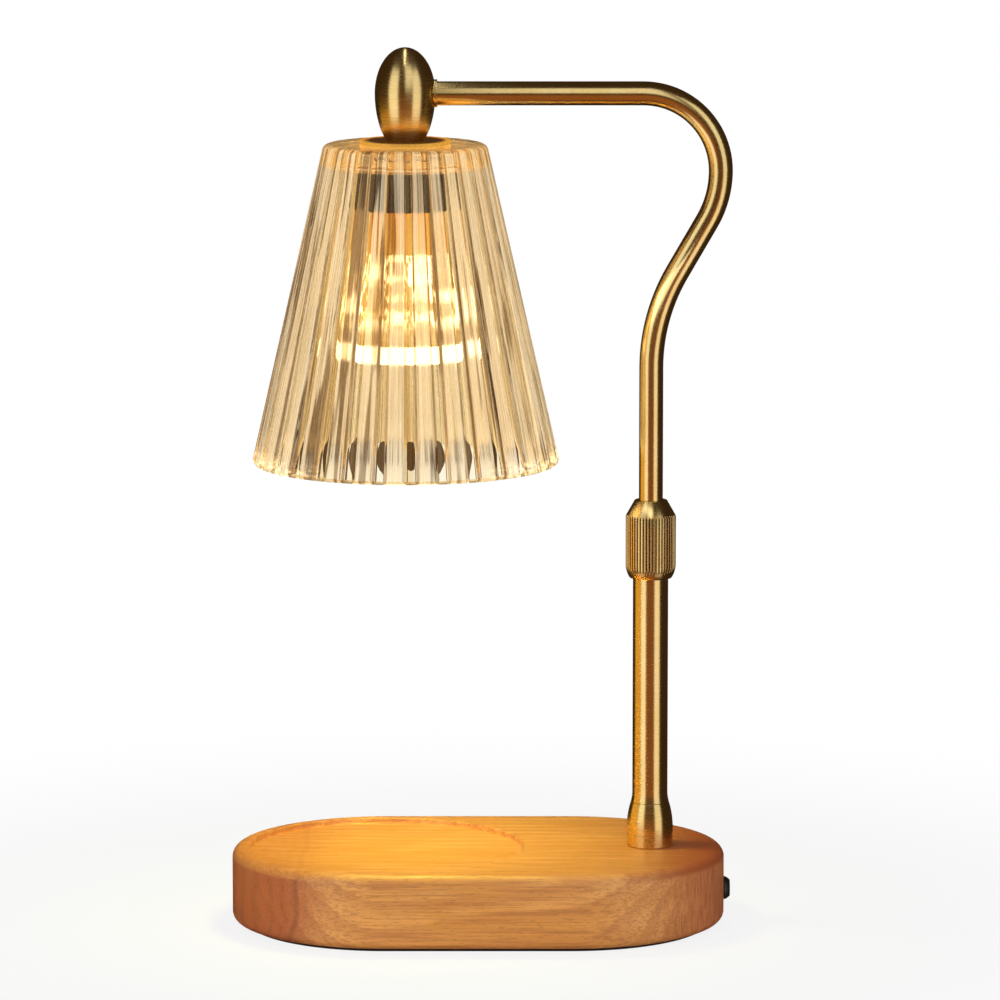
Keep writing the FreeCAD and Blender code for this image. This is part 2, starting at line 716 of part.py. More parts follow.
def cord_gland():
    """Black bushing pushed into the base's right end, where a cord would come in."""
    dome = s.gland_flange_radius - s.gland_bore_radius
    corners = (
        (s.gland_bore_radius, -s.gland_sleeve_length),
        (s.gland_sleeve_radius, -s.gland_sleeve_length),
        (s.gland_sleeve_radius, s.seat_gap),
        (s.gland_flange_radius, s.seat_gap),
        (s.gland_flange_radius, s.gland_flange_length / 8, 2 * s.gland_flange_length),
        (s.gland_bore_radius + dome / 4, s.gland_flange_length),
        (s.gland_bore_radius, s.gland_flange_length),
    )
    return turned("cord_gland", corners, x=s.base_length / 2, z=s.gland_height,
                  rotation=TOWARDS_X)


def terminal_box():
    """Closed terminal box on the cavity's roof; the lead and the cord go in from the right."""
    body = new_body("terminal_box", x=terminal_left, z=cavity_top - s.terminal_height)
    half = s.terminal_width / 2
    corners = ((0, -half), (s.terminal_length, -half), (s.terminal_length, half), (0, half))
    pad(body, outline(body, "terminal_outline", "XY_Plane", corners), "terminal_body", s.terminal_height)
    dress(body, "Chamfer", "terminal_edges", s.terminal_edge, upright)
    for name, radius, across, height in (
        ("lead_hole", s.lead_radius + s.seat_gap, 0, s.terminal_entry_height),
        ("cord_hole", s.gland_bore_radius + s.through_gap, s.terminal_cord_offset, s.terminal_cord_height),
    ):
        hole = circle_outline(body, f"{name}_outline", [(across, height)], radius,
                              plane="YZ_Plane", level=s.terminal_length)
        pocket(body, hole, name, s.terminal_entry_depth, reverse=False)
    return keep(body)


def upright(edge):
    """Picks the straight edges that stand upright."""
    box = edge.BoundBox
    return edge.Curve.TypeId == "Part::GeomLine" and box.ZLength > max(box.XLength, box.YLength) + TOLERANCE


# ---------------------------------------------------------------- the post

def mount_stud():
    """Hollow threaded stud that draws the post's foot down on the wood."""
    length = wood_top + s.ferrule_thread_depth - stud_bottom
    return sleeve("mount_stud", s.stud_radius, s.stud_bore_radius, length, x=s.column_x, z=stud_bottom)


def mount_washer():
    level = cavity_top - s.washer_thickness
    bore = s.stud_radius + s.through_gap
    return sleeve("mount_washer", s.washer_radius, bore, s.washer_thickness, x=s.column_x, z=level)


def mount_lock_washer():
    """Split ring; its gap is one saw cut wide."""
    level = stud_bottom + s.nut_thickness
    body = new_body("mount_lock_washer", x=s.column_x, z=level)
    inner = s.stud_radius + s.through_gap
    corners = ((inner, 0), (s.lock_washer_radius, 0), (s.lock_washer_radius, s.lock_washer_thickness),
               (inner, s.lock_washer_thickness))
    revolve(body, outline(body, "ring_profile", "XZ_Plane", corners), "ring")
    slit_half = s.lock_washer_thickness / 2
    slit = outline(body, "slit_outline", "XY_Plane", (
        (0, -slit_half), (s.washer_radius, -slit_half), (s.washer_radius, slit_half), (0, slit_half)))
    pocket(body, slit, "slit", s.lock_washer_thickness)
    return keep(body)


def post_ferrule():
    """Flared foot: a thread for the stud below, a spigot for the post tube above."""
    thread = s.stud_radius + s.seat_gap
    spigot = post_bore - s.seat_gap
    edge = s.seat_gap * 8
    corners = (
        (thread, 0),
        (s.ferrule_foot_radius - edge, 0),
        (s.ferrule_foot_radius, edge),
        (s.ferrule_foot_radius, s.ferrule_foot_band, s.ferrule_length * 2),
        (s.ferrule_top_radius, s.ferrule_length - edge),
        (s.ferrule_top_radius - edge, s.ferrule_length),
        (spigot, s.ferrule_length),
        (spigot, s.ferrule_length + s.ferrule_spigot_length),
        (s.stud_bore_radius, s.ferrule_length + s.ferrule_spigot_length),
        (s.stud_bore_radius, s.ferrule_thread_depth),
        (thread, s.ferrule_thread_depth),
    )
    return turned("post_ferrule", corners, x=s.column_x, z=wood_top)


def post_tube():
    """Straight tube, opened out a little at the bottom to run into the foot."""
    corners = (
        (post_bore, 0),
        (s.post_flare_radius, 0, -s.post_flare_length * 5),
        (s.post_radius, s.post_flare_length),
        (s.post_radius, s.post_length),
        (post_bore, s.post_length),
    )
    return turned("post_tube", corners, x=s.column_x, z=ferrule_top)


def post_bush():
    """Threaded bush in the top of the post: guides the arm and seats the clamping sleeve."""
    arm_way = s.arm_radius + s.running_gap
    socket = s.collet_radius + s.running_gap
    spigot = post_bore - s.seat_gap
    corners = (
        (arm_way, -s.bush_spigot_length),
        (spigot, -s.bush_spigot_length),
        (spigot, 0),
        (s.post_radius, 0),
        (s.post_radius, s.bush_collar_length),
        (s.bush_thread_radius, s.bush_collar_length),
        (s.bush_thread_radius, thread_top - post_top),
        (socket, thread_top - post_top),
        (socket, thread_top - post_top - s.collet_seat_depth),
        (arm_way, thread_top - post_top - s.collet_seat_depth),
    )
    return turned("post_bush", corners, x=s.column_x, z=post_top)


# ---------------------------------------------------------------- the clamp

def clamp_collet():
    """Sleeve with saw cuts: the nut's cone closes it on the arm."""
    shoulder = thread_top + s.stop_gap - collet_foot
    cone_start = collet_cone_start - collet_foot
    tip = cone_start + s.collet_cone_length
    bore = s.arm_radius + s.running_gap
    body = new_body("clamp_collet", x=s.column_x, z=collet_foot)
    corners = (
        (bore, 0),
        (s.collet_radius, 0),
        (s.collet_radius, shoulder),
        (s.collet_cone_radius, shoulder),
        (s.collet_cone_radius, cone_start),
        (s.collet_tip_radius, tip),
        (bore, tip),
    )
    revolve(body, outline(body, "sleeve_profile", "XZ_Plane", corners), "sleeve")
    half = s.collet_slot_width / 2
    slot = outline(body, "saw_cut_outline", "XY_Plane", (
        (0, -half), (s.clamp_radius, -half), (s.clamp_radius, half), (0, half)), level=s.stop_gap * 10)
    cut = pocket(body, slot, "saw_cut", tip)
    pattern(body, [cut], "saw_cuts", s.collet_slot_count)
    return keep(body)


def clamp_nut():
    """Knurled nut: skirt over the tube's end, thread on the bush, cone over the sleeve."""
    skirt = s.post_radius + s.through_gap
    thread = s.bush_thread_radius + s.running_gap
    length = s.clamp_knurl_length + s.clamp_cone_length
    skirt_depth = thread_bottom - clamp_bottom + s.stop_gap
    cone_start = collet_cone_start - clamp_bottom
    cone_end = cone_start + s.collet_cone_length
    nose = s.arm_radius + s.through_gap
    body = new_body("clamp_nut", x=s.column_x, z=clamp_bottom)
    corners = (
        (skirt, 0),
        (s.clamp_foot_radius, 0, s.clamp_foot_arc),
        (s.clamp_radius, s.clamp_foot_length),
        (s.clamp_radius, s.clamp_knurl_length),
        (s.clamp_nose_radius, length),
        (nose, length),
        (nose, cone_end + s.stop_gap),
        (s.collet_tip_radius + s.running_gap, cone_end + s.stop_gap),
        (s.collet_tip_radius + s.running_gap, cone_end),
        (s.collet_cone_radius + s.running_gap, cone_start),
        (thread, cone_start),
        (thread, skirt_depth),
        (skirt, skirt_depth),
    )
    revolve(body, outline(body, "nut_profile", "XZ_Plane", corners), "nut_turning")
    half = s.knurl_width / 2
    root = s.clamp_radius - s.knurl_depth
    beyond = s.clamp_radius + s.knurl_depth
    groove = outline(body, "knurl_outline", "XY_Plane", ((root, 0), (beyond, -half * 2), (beyond, half * 2)))
    cut = pocket(body, groove, "knurl_groove", s.clamp_knurl_length)
    pattern(body, [cut], "knurl", s.knurl_count)
    return keep(body)


# ---------------------------------------------------------------- the arm

def arm_stops():
    """Points (x, z) where the arm's bends begin and end, from the head down to the post."""
    level = s.arm_height
    bend_start = s.column_x - s.arm_bend_offset
    outermost = bend_start + s.arm_bend_radius
    shift = 1 - cosine(s.arm_lean)
    tail_x = outermost - s.arm_tail_radius * shift
    tail_z = level - s.arm_bend_radius - s.arm_tail_radius * sine(s.arm_lean)
    slope_length = (tail_x - s.column_x - s.arm_wave_radius * shift) / sine(s.arm_lean)
    wave_x = tail_x - slope_length * sine(s.arm_lean)
    wave_z = tail_z - slope_length * cosine(s.arm_lean)
    return SimpleNamespace(
        head=(shade_x + s.stud_radius + s.through_gap, level),
        bend=(bend_start, level),
        upright=(outermost, level - s.arm_bend_radius),
        tail=(tail_x, tail_z),
        wave=(wave_x, wave_z),
        straight=(s.column_x, wave_z - s.arm_wave_radius * sine(s.arm_lean)),
        end=(s.column_x, arm_bottom),
    )


def arm_path(sketch):
    """The arm's centre line: level, round and down, leaning back to the post, then upright."""
    stops = arm_stops()
    point = {name: Vector(number(x), number(z), 0) for name, (x, z) in vars(stops).items()}
    sketch.addGeometry([
        Part.LineSegment(point["head"], point["bend"]),
        arc_between(point["bend"], point["upright"], -number(s.arm_bend_radius)),
        arc_between(point["upright"], point["tail"], -number(s.arm_tail_radius)),
        Part.LineSegment(point["tail"], point["wave"]),
        arc_between(point["wave"], point["straight"], number(s.arm_wave_radius)),
        Part.LineSegment(point["straight"], point["end"]),
    ])
    ends = [end_points(sketch, index) for index in range(6)]
    for index in range(5):
        constrain(sketch, "Coincident", index, ends[index][1], index + 1, ends[index + 1][0])
    for index, name in enumerate(("head", "bend", "upright", "tail", "wave", "straight")):
        x, z = vars(stops)[name]
        pin_point(sketch, index, ends[index][0], x, z, name)
    pin_point(sketch, 5, ends[5][1], *stops.end, "end")
    for index, radius in ((1, s.arm_bend_radius), (2, s.arm_tail_radius), (4, s.arm_wave_radius)):
        constrain(sketch, "Radius", index, size=radius, name=f"bend{index}")


def arm_tube():
    """Bent brass tube, swept along its centre line, with the lead's way swept out of it."""
    body = new_body("arm_tube")
    path = new_sketch(body, "arm_path", "XZ_Plane")
    arm_path(path)
    start_x, start_z = arm_stops().head
    for name, kind, radius in (
        ("arm_outside", "Additive", s.arm_radius),
        ("arm_inside", "Subtractive", arm_bore),
    ):
        section = circle_outline(body, f"{name}_section", [(0, start_z)], radius,
                                 plane="YZ_Plane", level=start_x)
        sweep = body.newObject(f"PartDesign::{kind}Pipe", name)
        sweep.Profile = section
        sweep.Spine = (path, [])
        doc.recompute()
    return keep(body)


def arm_guide():
    """Nylon bush on the arm's lower end: runs in the post tube and stops the arm at the top."""
    outer = post_bore - s.running_gap
    return sleeve("arm_guide", outer, s.arm_radius + s.seat_gap, s.guide_length, x=s.column_x, z=arm_bottom)


def arm_grommet():
    """Keeps the lead off the cut end of the arm tube."""
    bore = s.lead_radius + s.through_gap
    corners = (
        (bore, -s.grommet_flange),
        (s.arm_radius, -s.grommet_flange),
        (s.arm_radius, 0),
        (arm_bore - s.seat_gap, 0),
        (arm_bore - s.seat_gap, s.grommet_length),
        (bore, s.grommet_length),
    )
    return turned("arm_grommet", corners, x=s.column_x, z=arm_bottom)


def lamp_head():
    """Egg-shaped brass head, bored up from below and from the side, with a flat for the arm's ring."""
    foot_share = s.head_foot_radius / s.head_radius
    lower_rise = s.head_drop / square_root(1 - foot_share * foot_share)
    upper = doc.addObject("Part::Ellipsoid", "head_upper")
    bind(upper, "Radius1", s.head_rise)
    lower = doc.addObject("Part::Ellipsoid", "head_lower")
    bind(lower, "Radius1", lower_rise)
    for half, first, last in ((upper, 0, 90), (lower, -90, 0)):
        bind(half, "Radius2", s.head_radius)
        half.Angle1 = first
        half.Angle2 = last
        put(half, x=shade_x, z=s.arm_height)
    egg = boolean("Fuse", "head_egg", upper, lower)
    foot = cylinder("head_foot_cut", s.head_radius, s.head_radius, x=shade_x, z=head_bottom - s.head_radius)
    bore = cylinder("head_bore", s.stud_radius + s.seat_gap, s.head_drop + s.head_bore_rise + OVERSHOOT,
                    x=shade_x, z=head_bottom - OVERSHOOT)
    socket = cylinder("head_arm_socket", s.arm_radius + s.seat_gap, s.head_radius + OVERSHOOT,
                      x=shade_x, z=s.arm_height, rotation=TOWARDS_X)
    flat = cylinder("head_arm_flat", s.arm_seat_radius, s.head_radius,
                    x=shade_x + s.arm_seat_offset, z=s.arm_height, rotation=TOWARDS_X)
    shape = egg
    for number_of_cut, tool in enumerate((foot, bore, socket), start=1):
        shape = boolean("Cut", f"head_cut{number_of_cut}", shape, tool)
    return keep(boolean("Cut", "lamp_head", shape, flat))


def arm_seat_ring():
    """Thin ring that covers the joint of arm and head."""
    return sleeve("arm_seat_ring", s.seat_ring_radius, s.arm_radius + s.seat_gap, s.seat_ring_length,
                  x=shade_x + s.arm_seat_offset, z=s.arm_height, rotation=TOWARDS_X)


# ---------------------------------------------------------------- the shade and its fixing

def head_nipple():
    """Hollow threaded nipple that hangs the glass and the holder from the head."""
    low = shade_nut_bottom - s.stop_gap * 2
    top = head_bottom + s.head_thread_depth
    return sleeve("head_nipple", s.stud_radius, s.stud_bore_radius, top - low, x=shade_x, z=low)


def fixing_ring(label, radius, level, thickness):
    return sleeve(label, radius, s.stud_radius + s.through_gap, thickness, x=shade_x, z=level)


def glass_shade():
    """Pressed glass: a thick flat top, an even conical wall, and flutes that narrow with the cone."""
    body = new_body("glass_shade", x=shade_x, z=glass_top - s.shade_height,
                    rotation=Rotation(Vector(0, 0, 1), number(s.shade_turn)))
    bind(body, "Placement.Rotation.Angle", s.shade_turn)
    inner_height = s.shade_height - s.shade_plate
    corners = (
        (wall_radius(0) - s.shade_wall, 0),
        (wall_radius(0), 0),
        (wall_radius(s.shade_height), s.shade_height),
        (s.shade_hole_radius, s.shade_height),
        (s.shade_hole_radius, inner_height),
        (wall_radius(inner_height) - s.shade_wall, inner_height),
    )
    revolve(body, outline(body, "glass_profile", "XZ_Plane", corners), "glass_body")
    crown = ring_at(wall_radius(s.shade_height), s.shade_height)
    dress(body, "Fillet", "crown", s.shade_crown_round, crown)
    inner_rim = ring_at(wall_radius(0) - s.shade_wall, 0)
    outer_rim = ring_at(wall_radius(0), 0)
    dress(body, "Chamfer", "rim", s.shade_rim_round, lambda edge: inner_rim(edge) or outer_rim(edge))
    sections = [flute_section(body, "flute_bottom", -s.shade_wall),
                flute_section(body, "flute_top", s.shade_height + s.shade_wall)]
    flute = body.newObject("PartDesign::SubtractiveLoft", "flute")
    flute.Profile = sections[0]
    flute.Sections = [sections[1]]
    flute.Ruled = True
    doc.recompute()
    pattern(body, [flute], "flutes", s.flute_count)
    return keep(body)


def wall_radius(height):
    """Outside radius of the glass, over the flutes, at a height above its rim."""
    return s.shade_rim_radius - (s.shade_rim_radius - s.shade_crown_radius) * height / s.shade_height


def flute_section(body, name, height):
    """Section of one flute at a height; all of it shrinks with the cone's radius."""
    scale = wall_radius(height) / s.shade_rim_radius
    floor_half = s.flute_floor / 2 * scale
    mouth_half = s.flute_mouth / 2 * scale
    floor = wall_radius(height) - s.flute_depth * scale
    beyond = wall_radius(height) + s.flute_depth * scale
    flare = mouth_half * 2 - floor_half
    return outline(body, name, "XY_Plane", (
        (floor, -floor_half), (beyond, -flare), (beyond, flare), (floor, floor_half)), level=height)


# ---------------------------------------------------------------- the lampholder

def holder_cup():
    """Cup over the ceramic block, clamped under the glass."""
    body = new_body("holder_cup", x=shade_x, z=cup_bottom)
    inner = s.cup_radius - s.cup_wall
    hole = s.stud_radius + s.through_gap
    corners = (
        (inner, 0), (s.cup_radius, 0), (s.cup_radius, s.cup_length), (hole, s.cup_length),
        (hole, s.cup_length - s.cup_wall), (inner, s.cup_length - s.cup_wall),
    )
    revolve(body, outline(body, "cup_profile", "XZ_Plane", corners), "cup_turning")
    dress(body, "Chamfer", "cup_shoulder", s.cup_bevel, ring_at(s.cup_radius, s.cup_length))
    holes = circle_outline(body, "cup_screw_holes", boss_places(), s.holder_screw_radius + s.through_gap)
    pocket(body, holes, "cup_screw_way", s.cup_length + OVERSHOOT)
    return keep(body)


def boss_places():
    return [(0, s.boss_offset * side) for side in (-1, 1)]


def holder_block():
    """Ceramic block with two curved, undercut slots that the bulb's pins turn into."""
    body = new_body("holder_block", x=shade_x, z=block_face)
    radius = s.cup_radius - s.cup_wall - s.block_play
    pad(body, circle_outline(body, "block_disc", [(0, 0)], radius), "block_body", s.block_thickness)
    bosses = circle_outline(body, "boss_outline", boss_places(), s.boss_radius)
    pad(body, bosses, "bosses", cup_ceiling - block_face)
    screw_ways = circle_outline(body, "block_screw_holes", boss_places(), s.holder_screw_radius,
                                level=cup_ceiling - block_face)
    pocket(body, screw_ways, "block_screw_ways", s.holder_screw_bite + cup_ceiling - block_top, reverse=False)
    lead_way = circle_outline(body, "lead_way_outline", [(0, 0)], s.lead_radius, level=s.block_thickness)
    pocket(body, lead_way, "lead_way", s.block_plate / 2, reverse=False)
    neck = s.pin_neck_radius + s.pin_play
    head = s.pin_head_radius + s.pin_play
    channel = head + s.through_gap
    cuts = pin_slot(body, "neck_slot", neck, -OVERSHOOT, s.block_plate)
    cuts += pin_slot(body, "head_channel", channel, s.block_plate, s.block_plate + s.block_channel)
    cuts.append(pin_hole(body, "head_entry", head, s.twist_angle, -OVERSHOOT, s.block_plate))
    pattern(body, cuts, "both_slots", 2)
    return keep(body)


def pin_slot(body, name, half_width, low, high):
    """A slot around the bulb's axis, from the locked place of a pin to where it is free."""
    before = body.Shape.Volume
    corners = ((s.pin_offset - half_width, low), (s.pin_offset + half_width, low),
               (s.pin_offset + half_width, high), (s.pin_offset - half_width, high))
    sketch = outline(body, f"{name}_section", "XZ_Plane", corners)
    groove = body.newObject("PartDesign::Groove", name)
    groove.Profile = sketch
    groove.ReferenceAxis = (sketch, ["V_Axis"])
    groove.Reversed = True
    bind(groove, "Angle", s.twist_angle)
    doc.recompute()
    assert body.Shape.Volume < before, f"{name} cuts nothing"
    ends = [pin_hole(body, f"{name}_locked_end", half_width, 0, low, high),
            pin_hole(body, f"{name}_free_end", half_width, s.twist_angle, low, high)]
    return [groove] + ends


def pin_hole(body, name, radius, angle, low, high):
    """A round hole where a pin stands when the bulb is turned by an angle from its locked place."""
    hole = body.newObject("PartDesign::SubtractiveCylinder", name)
    bind(hole, "Radius", radius)
    bind(hole, "Height", high - low)
    across = s.pin_offset * cosine(angle)
    along = -s.pin_offset * sine(angle)
    put(hole, x=across, y=along if number(angle) else 0.0, z=low)
    doc.recompute()
    return hole


def holder_contacts():
    """Two curved contact springs on the roofs of the channels."""
    reach = s.pin_head_radius
    level = channel_top - s.contact_thickness
    strip = Part.Face(Part.makePolygon([
        Vector(number(s.pin_offset - reach), 0, 0),
        Vector(number(s.pin_offset + reach), 0, 0),
        Vector(number(s.pin_offset + reach), 0, number(s.contact_thickness)),
        Vector(number(s.pin_offset - reach), 0, number(s.contact_thickness)),
        Vector(number(s.pin_offset - reach), 0, 0),
    ]))
    spring = strip.revolve(Vector(), Vector(0, 0, -1), number(s.twist_angle))
    places = [Placement(Vector(number(shade_x), 0, number(level)), Rotation(Vector(0, 0, 1), turn))
              for turn in (0, 180)]
    return solid_feature("holder_contacts", copies(spring, places))


def holder_screws():
    """Two screws from the cup's top into the block's bosses."""
    head_height = number(s.holder_screw_head_height)
    head = solid_cylinder(s.holder_screw_head, head_height)
    shank = solid_cylinder(s.holder_screw_radius - s.seat_gap, cup_top - block_top + s.holder_screw_bite,
                           Vector(0, 0, head_height))
    screw = head.fuse(shank).cut(screw_slot(s.holder_screw_head))
    head_down = Rotation(Vector(1, 0, 0), 180)
    places = [Placement(Vector(number(shade_x + x), number(y), number(cup_top) + head_height), head_down)
              for x, y in boss_places()]
    return solid_feature("holder_screws", copies(screw, places))


# ---------------------------------------------------------------- the bulb

def bulb_base():
    """Ceramic base of the bulb."""
    corners = (
        (0, 0),
        (s.bulb_neck_radius, 0),
        (s.bulb_neck_radius, s.bulb_neck_length / 2),
        (s.bulb_neck_top_radius + s.bulb_shoulder / 2, s.bulb_neck_length - s.bulb_shoulder),
        (s.bulb_neck_top_radius, s.bulb_neck_length),
        (0, s.bulb_neck_length),
    )
    return turned("bulb_base", corners, x=shade_x, z=neck_bottom)


def bulb_pins():
    """Two pins with thick heads that hook over the block's plate."""
    neck_length = s.block_plate + s.pin_play * 2
    neck = solid_cylinder(s.pin_neck_radius, neck_length)
    head = solid_cylinder(s.pin_head_radius, s.pin_head_length, Vector(0, 0, number(neck_length)))
    places = [Placement(Vector(number(shade_x + s.pin_offset * side), 0, number(bulb_top)), Rotation())
              for side in (-1, 1)]
    return solid_feature("bulb_pins", copies(neck.fuse(head), places))


def bulb_reflector():
    """Thin bowl from the ceramic base to the front glass."""
    wall = s.reflector_wall
    corners = (
        (s.reflector_radius - wall, 0),
        (s.reflector_radius, 0, s.reflector_arc),
        (s.bulb_neck_radius, s.reflector_length),
        (s.bulb_neck_radius - wall, s.reflector_length, -(s.reflector_arc - wall)),
    )
    return turned("bulb_reflector", corners, x=shade_x, z=mouth)


def bulb_bezel():
    """Ring around the front glass."""
    inner = s.bezel_radius - s.bezel_wall
    corners = (
        (inner - s.bezel_lip, 0),
        (s.bezel_radius - s.bezel_lip, 0),
        (s.bezel_radius, s.bezel_lip),
        (s.bezel_radius, s.bezel_length),
        (inner, s.bezel_length),
        (inner, s.bezel_lip),
        (inner - s.bezel_lip, s.bezel_lip),
    )
    return turned("bulb_bezel", corners, x=shade_x, z=bezel_bottom)


def bulb_lens():
    """Front glass, on the ring's lip."""
    radius = s.bezel_radius - s.bezel_wall - s.seat_gap
    level = bezel_bottom + s.bezel_lip
    corners = ((0, 0), (radius, 0), (radius, s.lens_thickness), (0, s.lens_thickness))
    return turned("bulb_lens", corners, x=shade_x, z=level)


def bulb_capsule():
    """Light source in the reflector, round at its lower end."""
    body_length = s.capsule_length - s.capsule_radius
    corners = (
        (0, -s.capsule_length, s.capsule_radius),
        (s.capsule_radius, -body_length),
        (s.capsule_radius, 0),
        (0, 0),
    )
    return turned("bulb_capsule", corners, x=shade_x, z=capsule_start)


# ---------------------------------------------------------------- the wiring

def swept_lead(label, wire):
    """A round lead along a wire of straight runs and tangent arcs."""
    start = wire.Vertexes[0].Point
    first = wire.Edges[0]
    direction = first.tangentAt(first.FirstParameter)
    section = Part.Wire(Part.Circle(start, direction, number(s.lead_radius)).toShape())
    lead = wire.makePipeShell([section], True, True)
    expected = math.pi * number(s.lead_radius) ** 2 * wire.Length
    assert abs(lead.Volume - expected) < expected / 100, f"{label} is not swept whole"
    return solid_feature(label, lead)


def at_xz(place):
    return Vector(number(place[0]), 0, number(place[1]))


def quarter(start, end, heading, radius):
    """A quarter turn in the XZ plane that leaves its start along a heading."""
    turn = start + heading * radius
    middle = start + end - turn
    halfway = middle + (turn - middle).normalize() * radius
    return Part.Arc(start, halfway, end).toShape()


def lead_arm():
    """Lead from the holder up through the nipple, round inside the head and down the whole arm."""
    stops = arm_stops()
    bend = number(s.lead_head_bend)
    low = at_xz((shade_x, shade_nut_bottom - s.stop_gap * 2))
    under = at_xz((shade_x, s.arm_height - s.lead_head_bend))
    beside = at_xz((shade_x + s.lead_head_bend, s.arm_height))
    lead_end = at_xz((s.column_x, lead_joint))
    point = {name: at_xz(place) for name, place in vars(stops).items()}
    edges = [
        Part.LineSegment(low, under).toShape(),
        quarter(under, beside, Vector(0, 0, 1), bend),
        Part.LineSegment(beside, point["bend"]).toShape(),
        flat_arc(point["bend"], point["upright"], -number(s.arm_bend_radius)),
        flat_arc(point["upright"], point["tail"], -number(s.arm_tail_radius)),
        Part.LineSegment(point["tail"], point["wave"]).toShape(),
        flat_arc(point["wave"], point["straight"], number(s.arm_wave_radius)),
        Part.LineSegment(point["straight"], lead_end).toShape(),
    ]
    return swept_lead("lead_arm", Part.Wire(edges))


def flat_arc(start, end, radius):
    """The arc of arc_between, stood up in the XZ plane."""
    lying = arc_between(Vector(start.x, start.z, 0), Vector(end.x, end.z, 0), radius).toShape()
    lying.rotate(Vector(), Vector(1, 0, 0), 90)
    return lying


def lead_slack():
    """Stretch of lead inside the post that takes up the arm's travel."""
    length = lead_joint - spigot_top
    corners = ((0, 0), (s.lead_radius, 0), (s.lead_radius, length), (0, length))
    return turned("lead_slack", corners, x=s.column_x, z=spigot_top)


def lead_base():
    """Lead from the post down through the stud and across the cavity to the terminal box."""
    entry = cavity_top - s.terminal_height + s.terminal_entry_height
    lead_end = terminal_left + s.terminal_length - s.terminal_entry_depth
    bend = stud_bottom - entry
    top = at_xz((s.column_x, spigot_top))
    down = at_xz((s.column_x, entry + bend))
    across = at_xz((s.column_x - bend, entry))
    last = at_xz((lead_end, entry))
    edges = [
        Part.LineSegment(top, down).toShape(),
        quarter(down, across, Vector(0, 0, -1), number(bend)),
        Part.LineSegment(across, last).toShape(),
    ]
    return swept_lead("lead_base", Part.Wire(edges))


# ---------------------------------------------------------------- the whole lamp

def build():
    wood_base()
    base_pad()
    base_cover()
    cover_screws()
    cord_gland()
    terminal_box()
    mount_stud()
    mount_washer()
    mount_lock_washer()
    hexagon_nut("mount_nut", s.nut_thickness, s.column_x, stud_bottom)
    post_ferrule()
    post_tube()
    post_bush()
    clamp_collet()
    clamp_nut()
    arm_tube()
    arm_guide()
    arm_grommet()
    lamp_head()
    arm_seat_ring()
    head_nipple()
    fixing_ring("shade_gasket_top", s.top_gasket_radius, glass_top, s.top_gasket_thickness)
    glass_shade()
    fixing_ring("shade_gasket_under", s.under_gasket_radius, under_gasket_bottom, s.under_gasket_thickness)
    fixing_ring("shade_washer", s.shade_washer_radius, cup_top, s.shade_washer_thickness)
    hexagon_nut("shade_nut", s.shade_nut_thickness, shade_x, shade_nut_bottom)
    holder_cup()
    holder_block()
    holder_contacts()
    holder_screws()
    bulb_base()
    bulb_pins()
    bulb_reflector()
    bulb_bezel()
    bulb_lens()
    bulb_capsule()
    lead_arm()
    lead_slack()
    lead_base()
    doc.recompute()


def check():
    """Stop before anything is written if an object failed or a sub-part has no sound shape."""
    for thing in doc.Objects:
        failed = [word for word in thing.State if word in ("Invalid", "Error")]
        assert not failed, f"{thing.Name}: {failed}"
    for piece in subparts:
        assert not piece.Shape.isNull(), f"{piece.Label} is empty"
        assert piece.Shape.isValid(), f"{piece.Label} is not valid"
        assert piece.Shape.Solids, f"{piece.Label} has no solid"
    labels = [piece.Label for piece in subparts]
    assert len(set(labels)) == len(labels), "two sub-parts share a label"


def export():
    os.makedirs("parts", exist_ok=True)
    for piece in subparts:
        piece.Shape.exportStep(f"parts/{piece.Label}.step")
        box = piece.Shape.BoundBox
        print(f"{piece.Label}: {len(piece.Shape.Solids)} solid(s), {piece.Shape.Volume:.1f} mm3, "
              f"z {box.ZMin:.2f} to {box.ZMax:.2f}")


build()
check()
export()
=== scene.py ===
"""Looks of a candle warmer lamp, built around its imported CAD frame.

Sizes are in millimetres where a name or a profile holds them, and meshes are made in metres,
in the frame's own axes: +Z up, +X along the base from the jar's recess to the post.
"""

import json
import math

import bpy
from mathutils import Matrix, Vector

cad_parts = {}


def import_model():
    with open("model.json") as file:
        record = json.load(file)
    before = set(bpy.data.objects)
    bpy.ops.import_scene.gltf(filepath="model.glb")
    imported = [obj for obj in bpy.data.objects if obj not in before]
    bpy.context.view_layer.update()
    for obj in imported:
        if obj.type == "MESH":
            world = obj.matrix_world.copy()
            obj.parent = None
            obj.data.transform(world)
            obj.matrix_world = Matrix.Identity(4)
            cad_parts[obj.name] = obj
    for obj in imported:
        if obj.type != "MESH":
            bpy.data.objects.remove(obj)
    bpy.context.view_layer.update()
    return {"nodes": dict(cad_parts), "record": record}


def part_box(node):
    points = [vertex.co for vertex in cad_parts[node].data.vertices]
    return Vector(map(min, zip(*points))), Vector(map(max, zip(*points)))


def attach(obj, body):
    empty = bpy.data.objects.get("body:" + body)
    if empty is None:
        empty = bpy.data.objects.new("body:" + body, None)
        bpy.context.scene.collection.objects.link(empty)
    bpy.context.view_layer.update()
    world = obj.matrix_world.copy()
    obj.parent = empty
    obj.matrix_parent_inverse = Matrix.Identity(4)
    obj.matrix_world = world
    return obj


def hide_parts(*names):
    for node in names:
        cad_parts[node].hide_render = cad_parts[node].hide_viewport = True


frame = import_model()

MM = 0.001
TURN = 2 * math.pi


# ---------------------------------------------------------------- places, read from the frame

def box_mm(node):
    """A CAD node's lowest and highest corners, in millimetres."""
    low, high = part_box(node)
    return low / MM, high / MM


def middle(node):
    low, high = box_mm(node)
    return (low + high) / 2


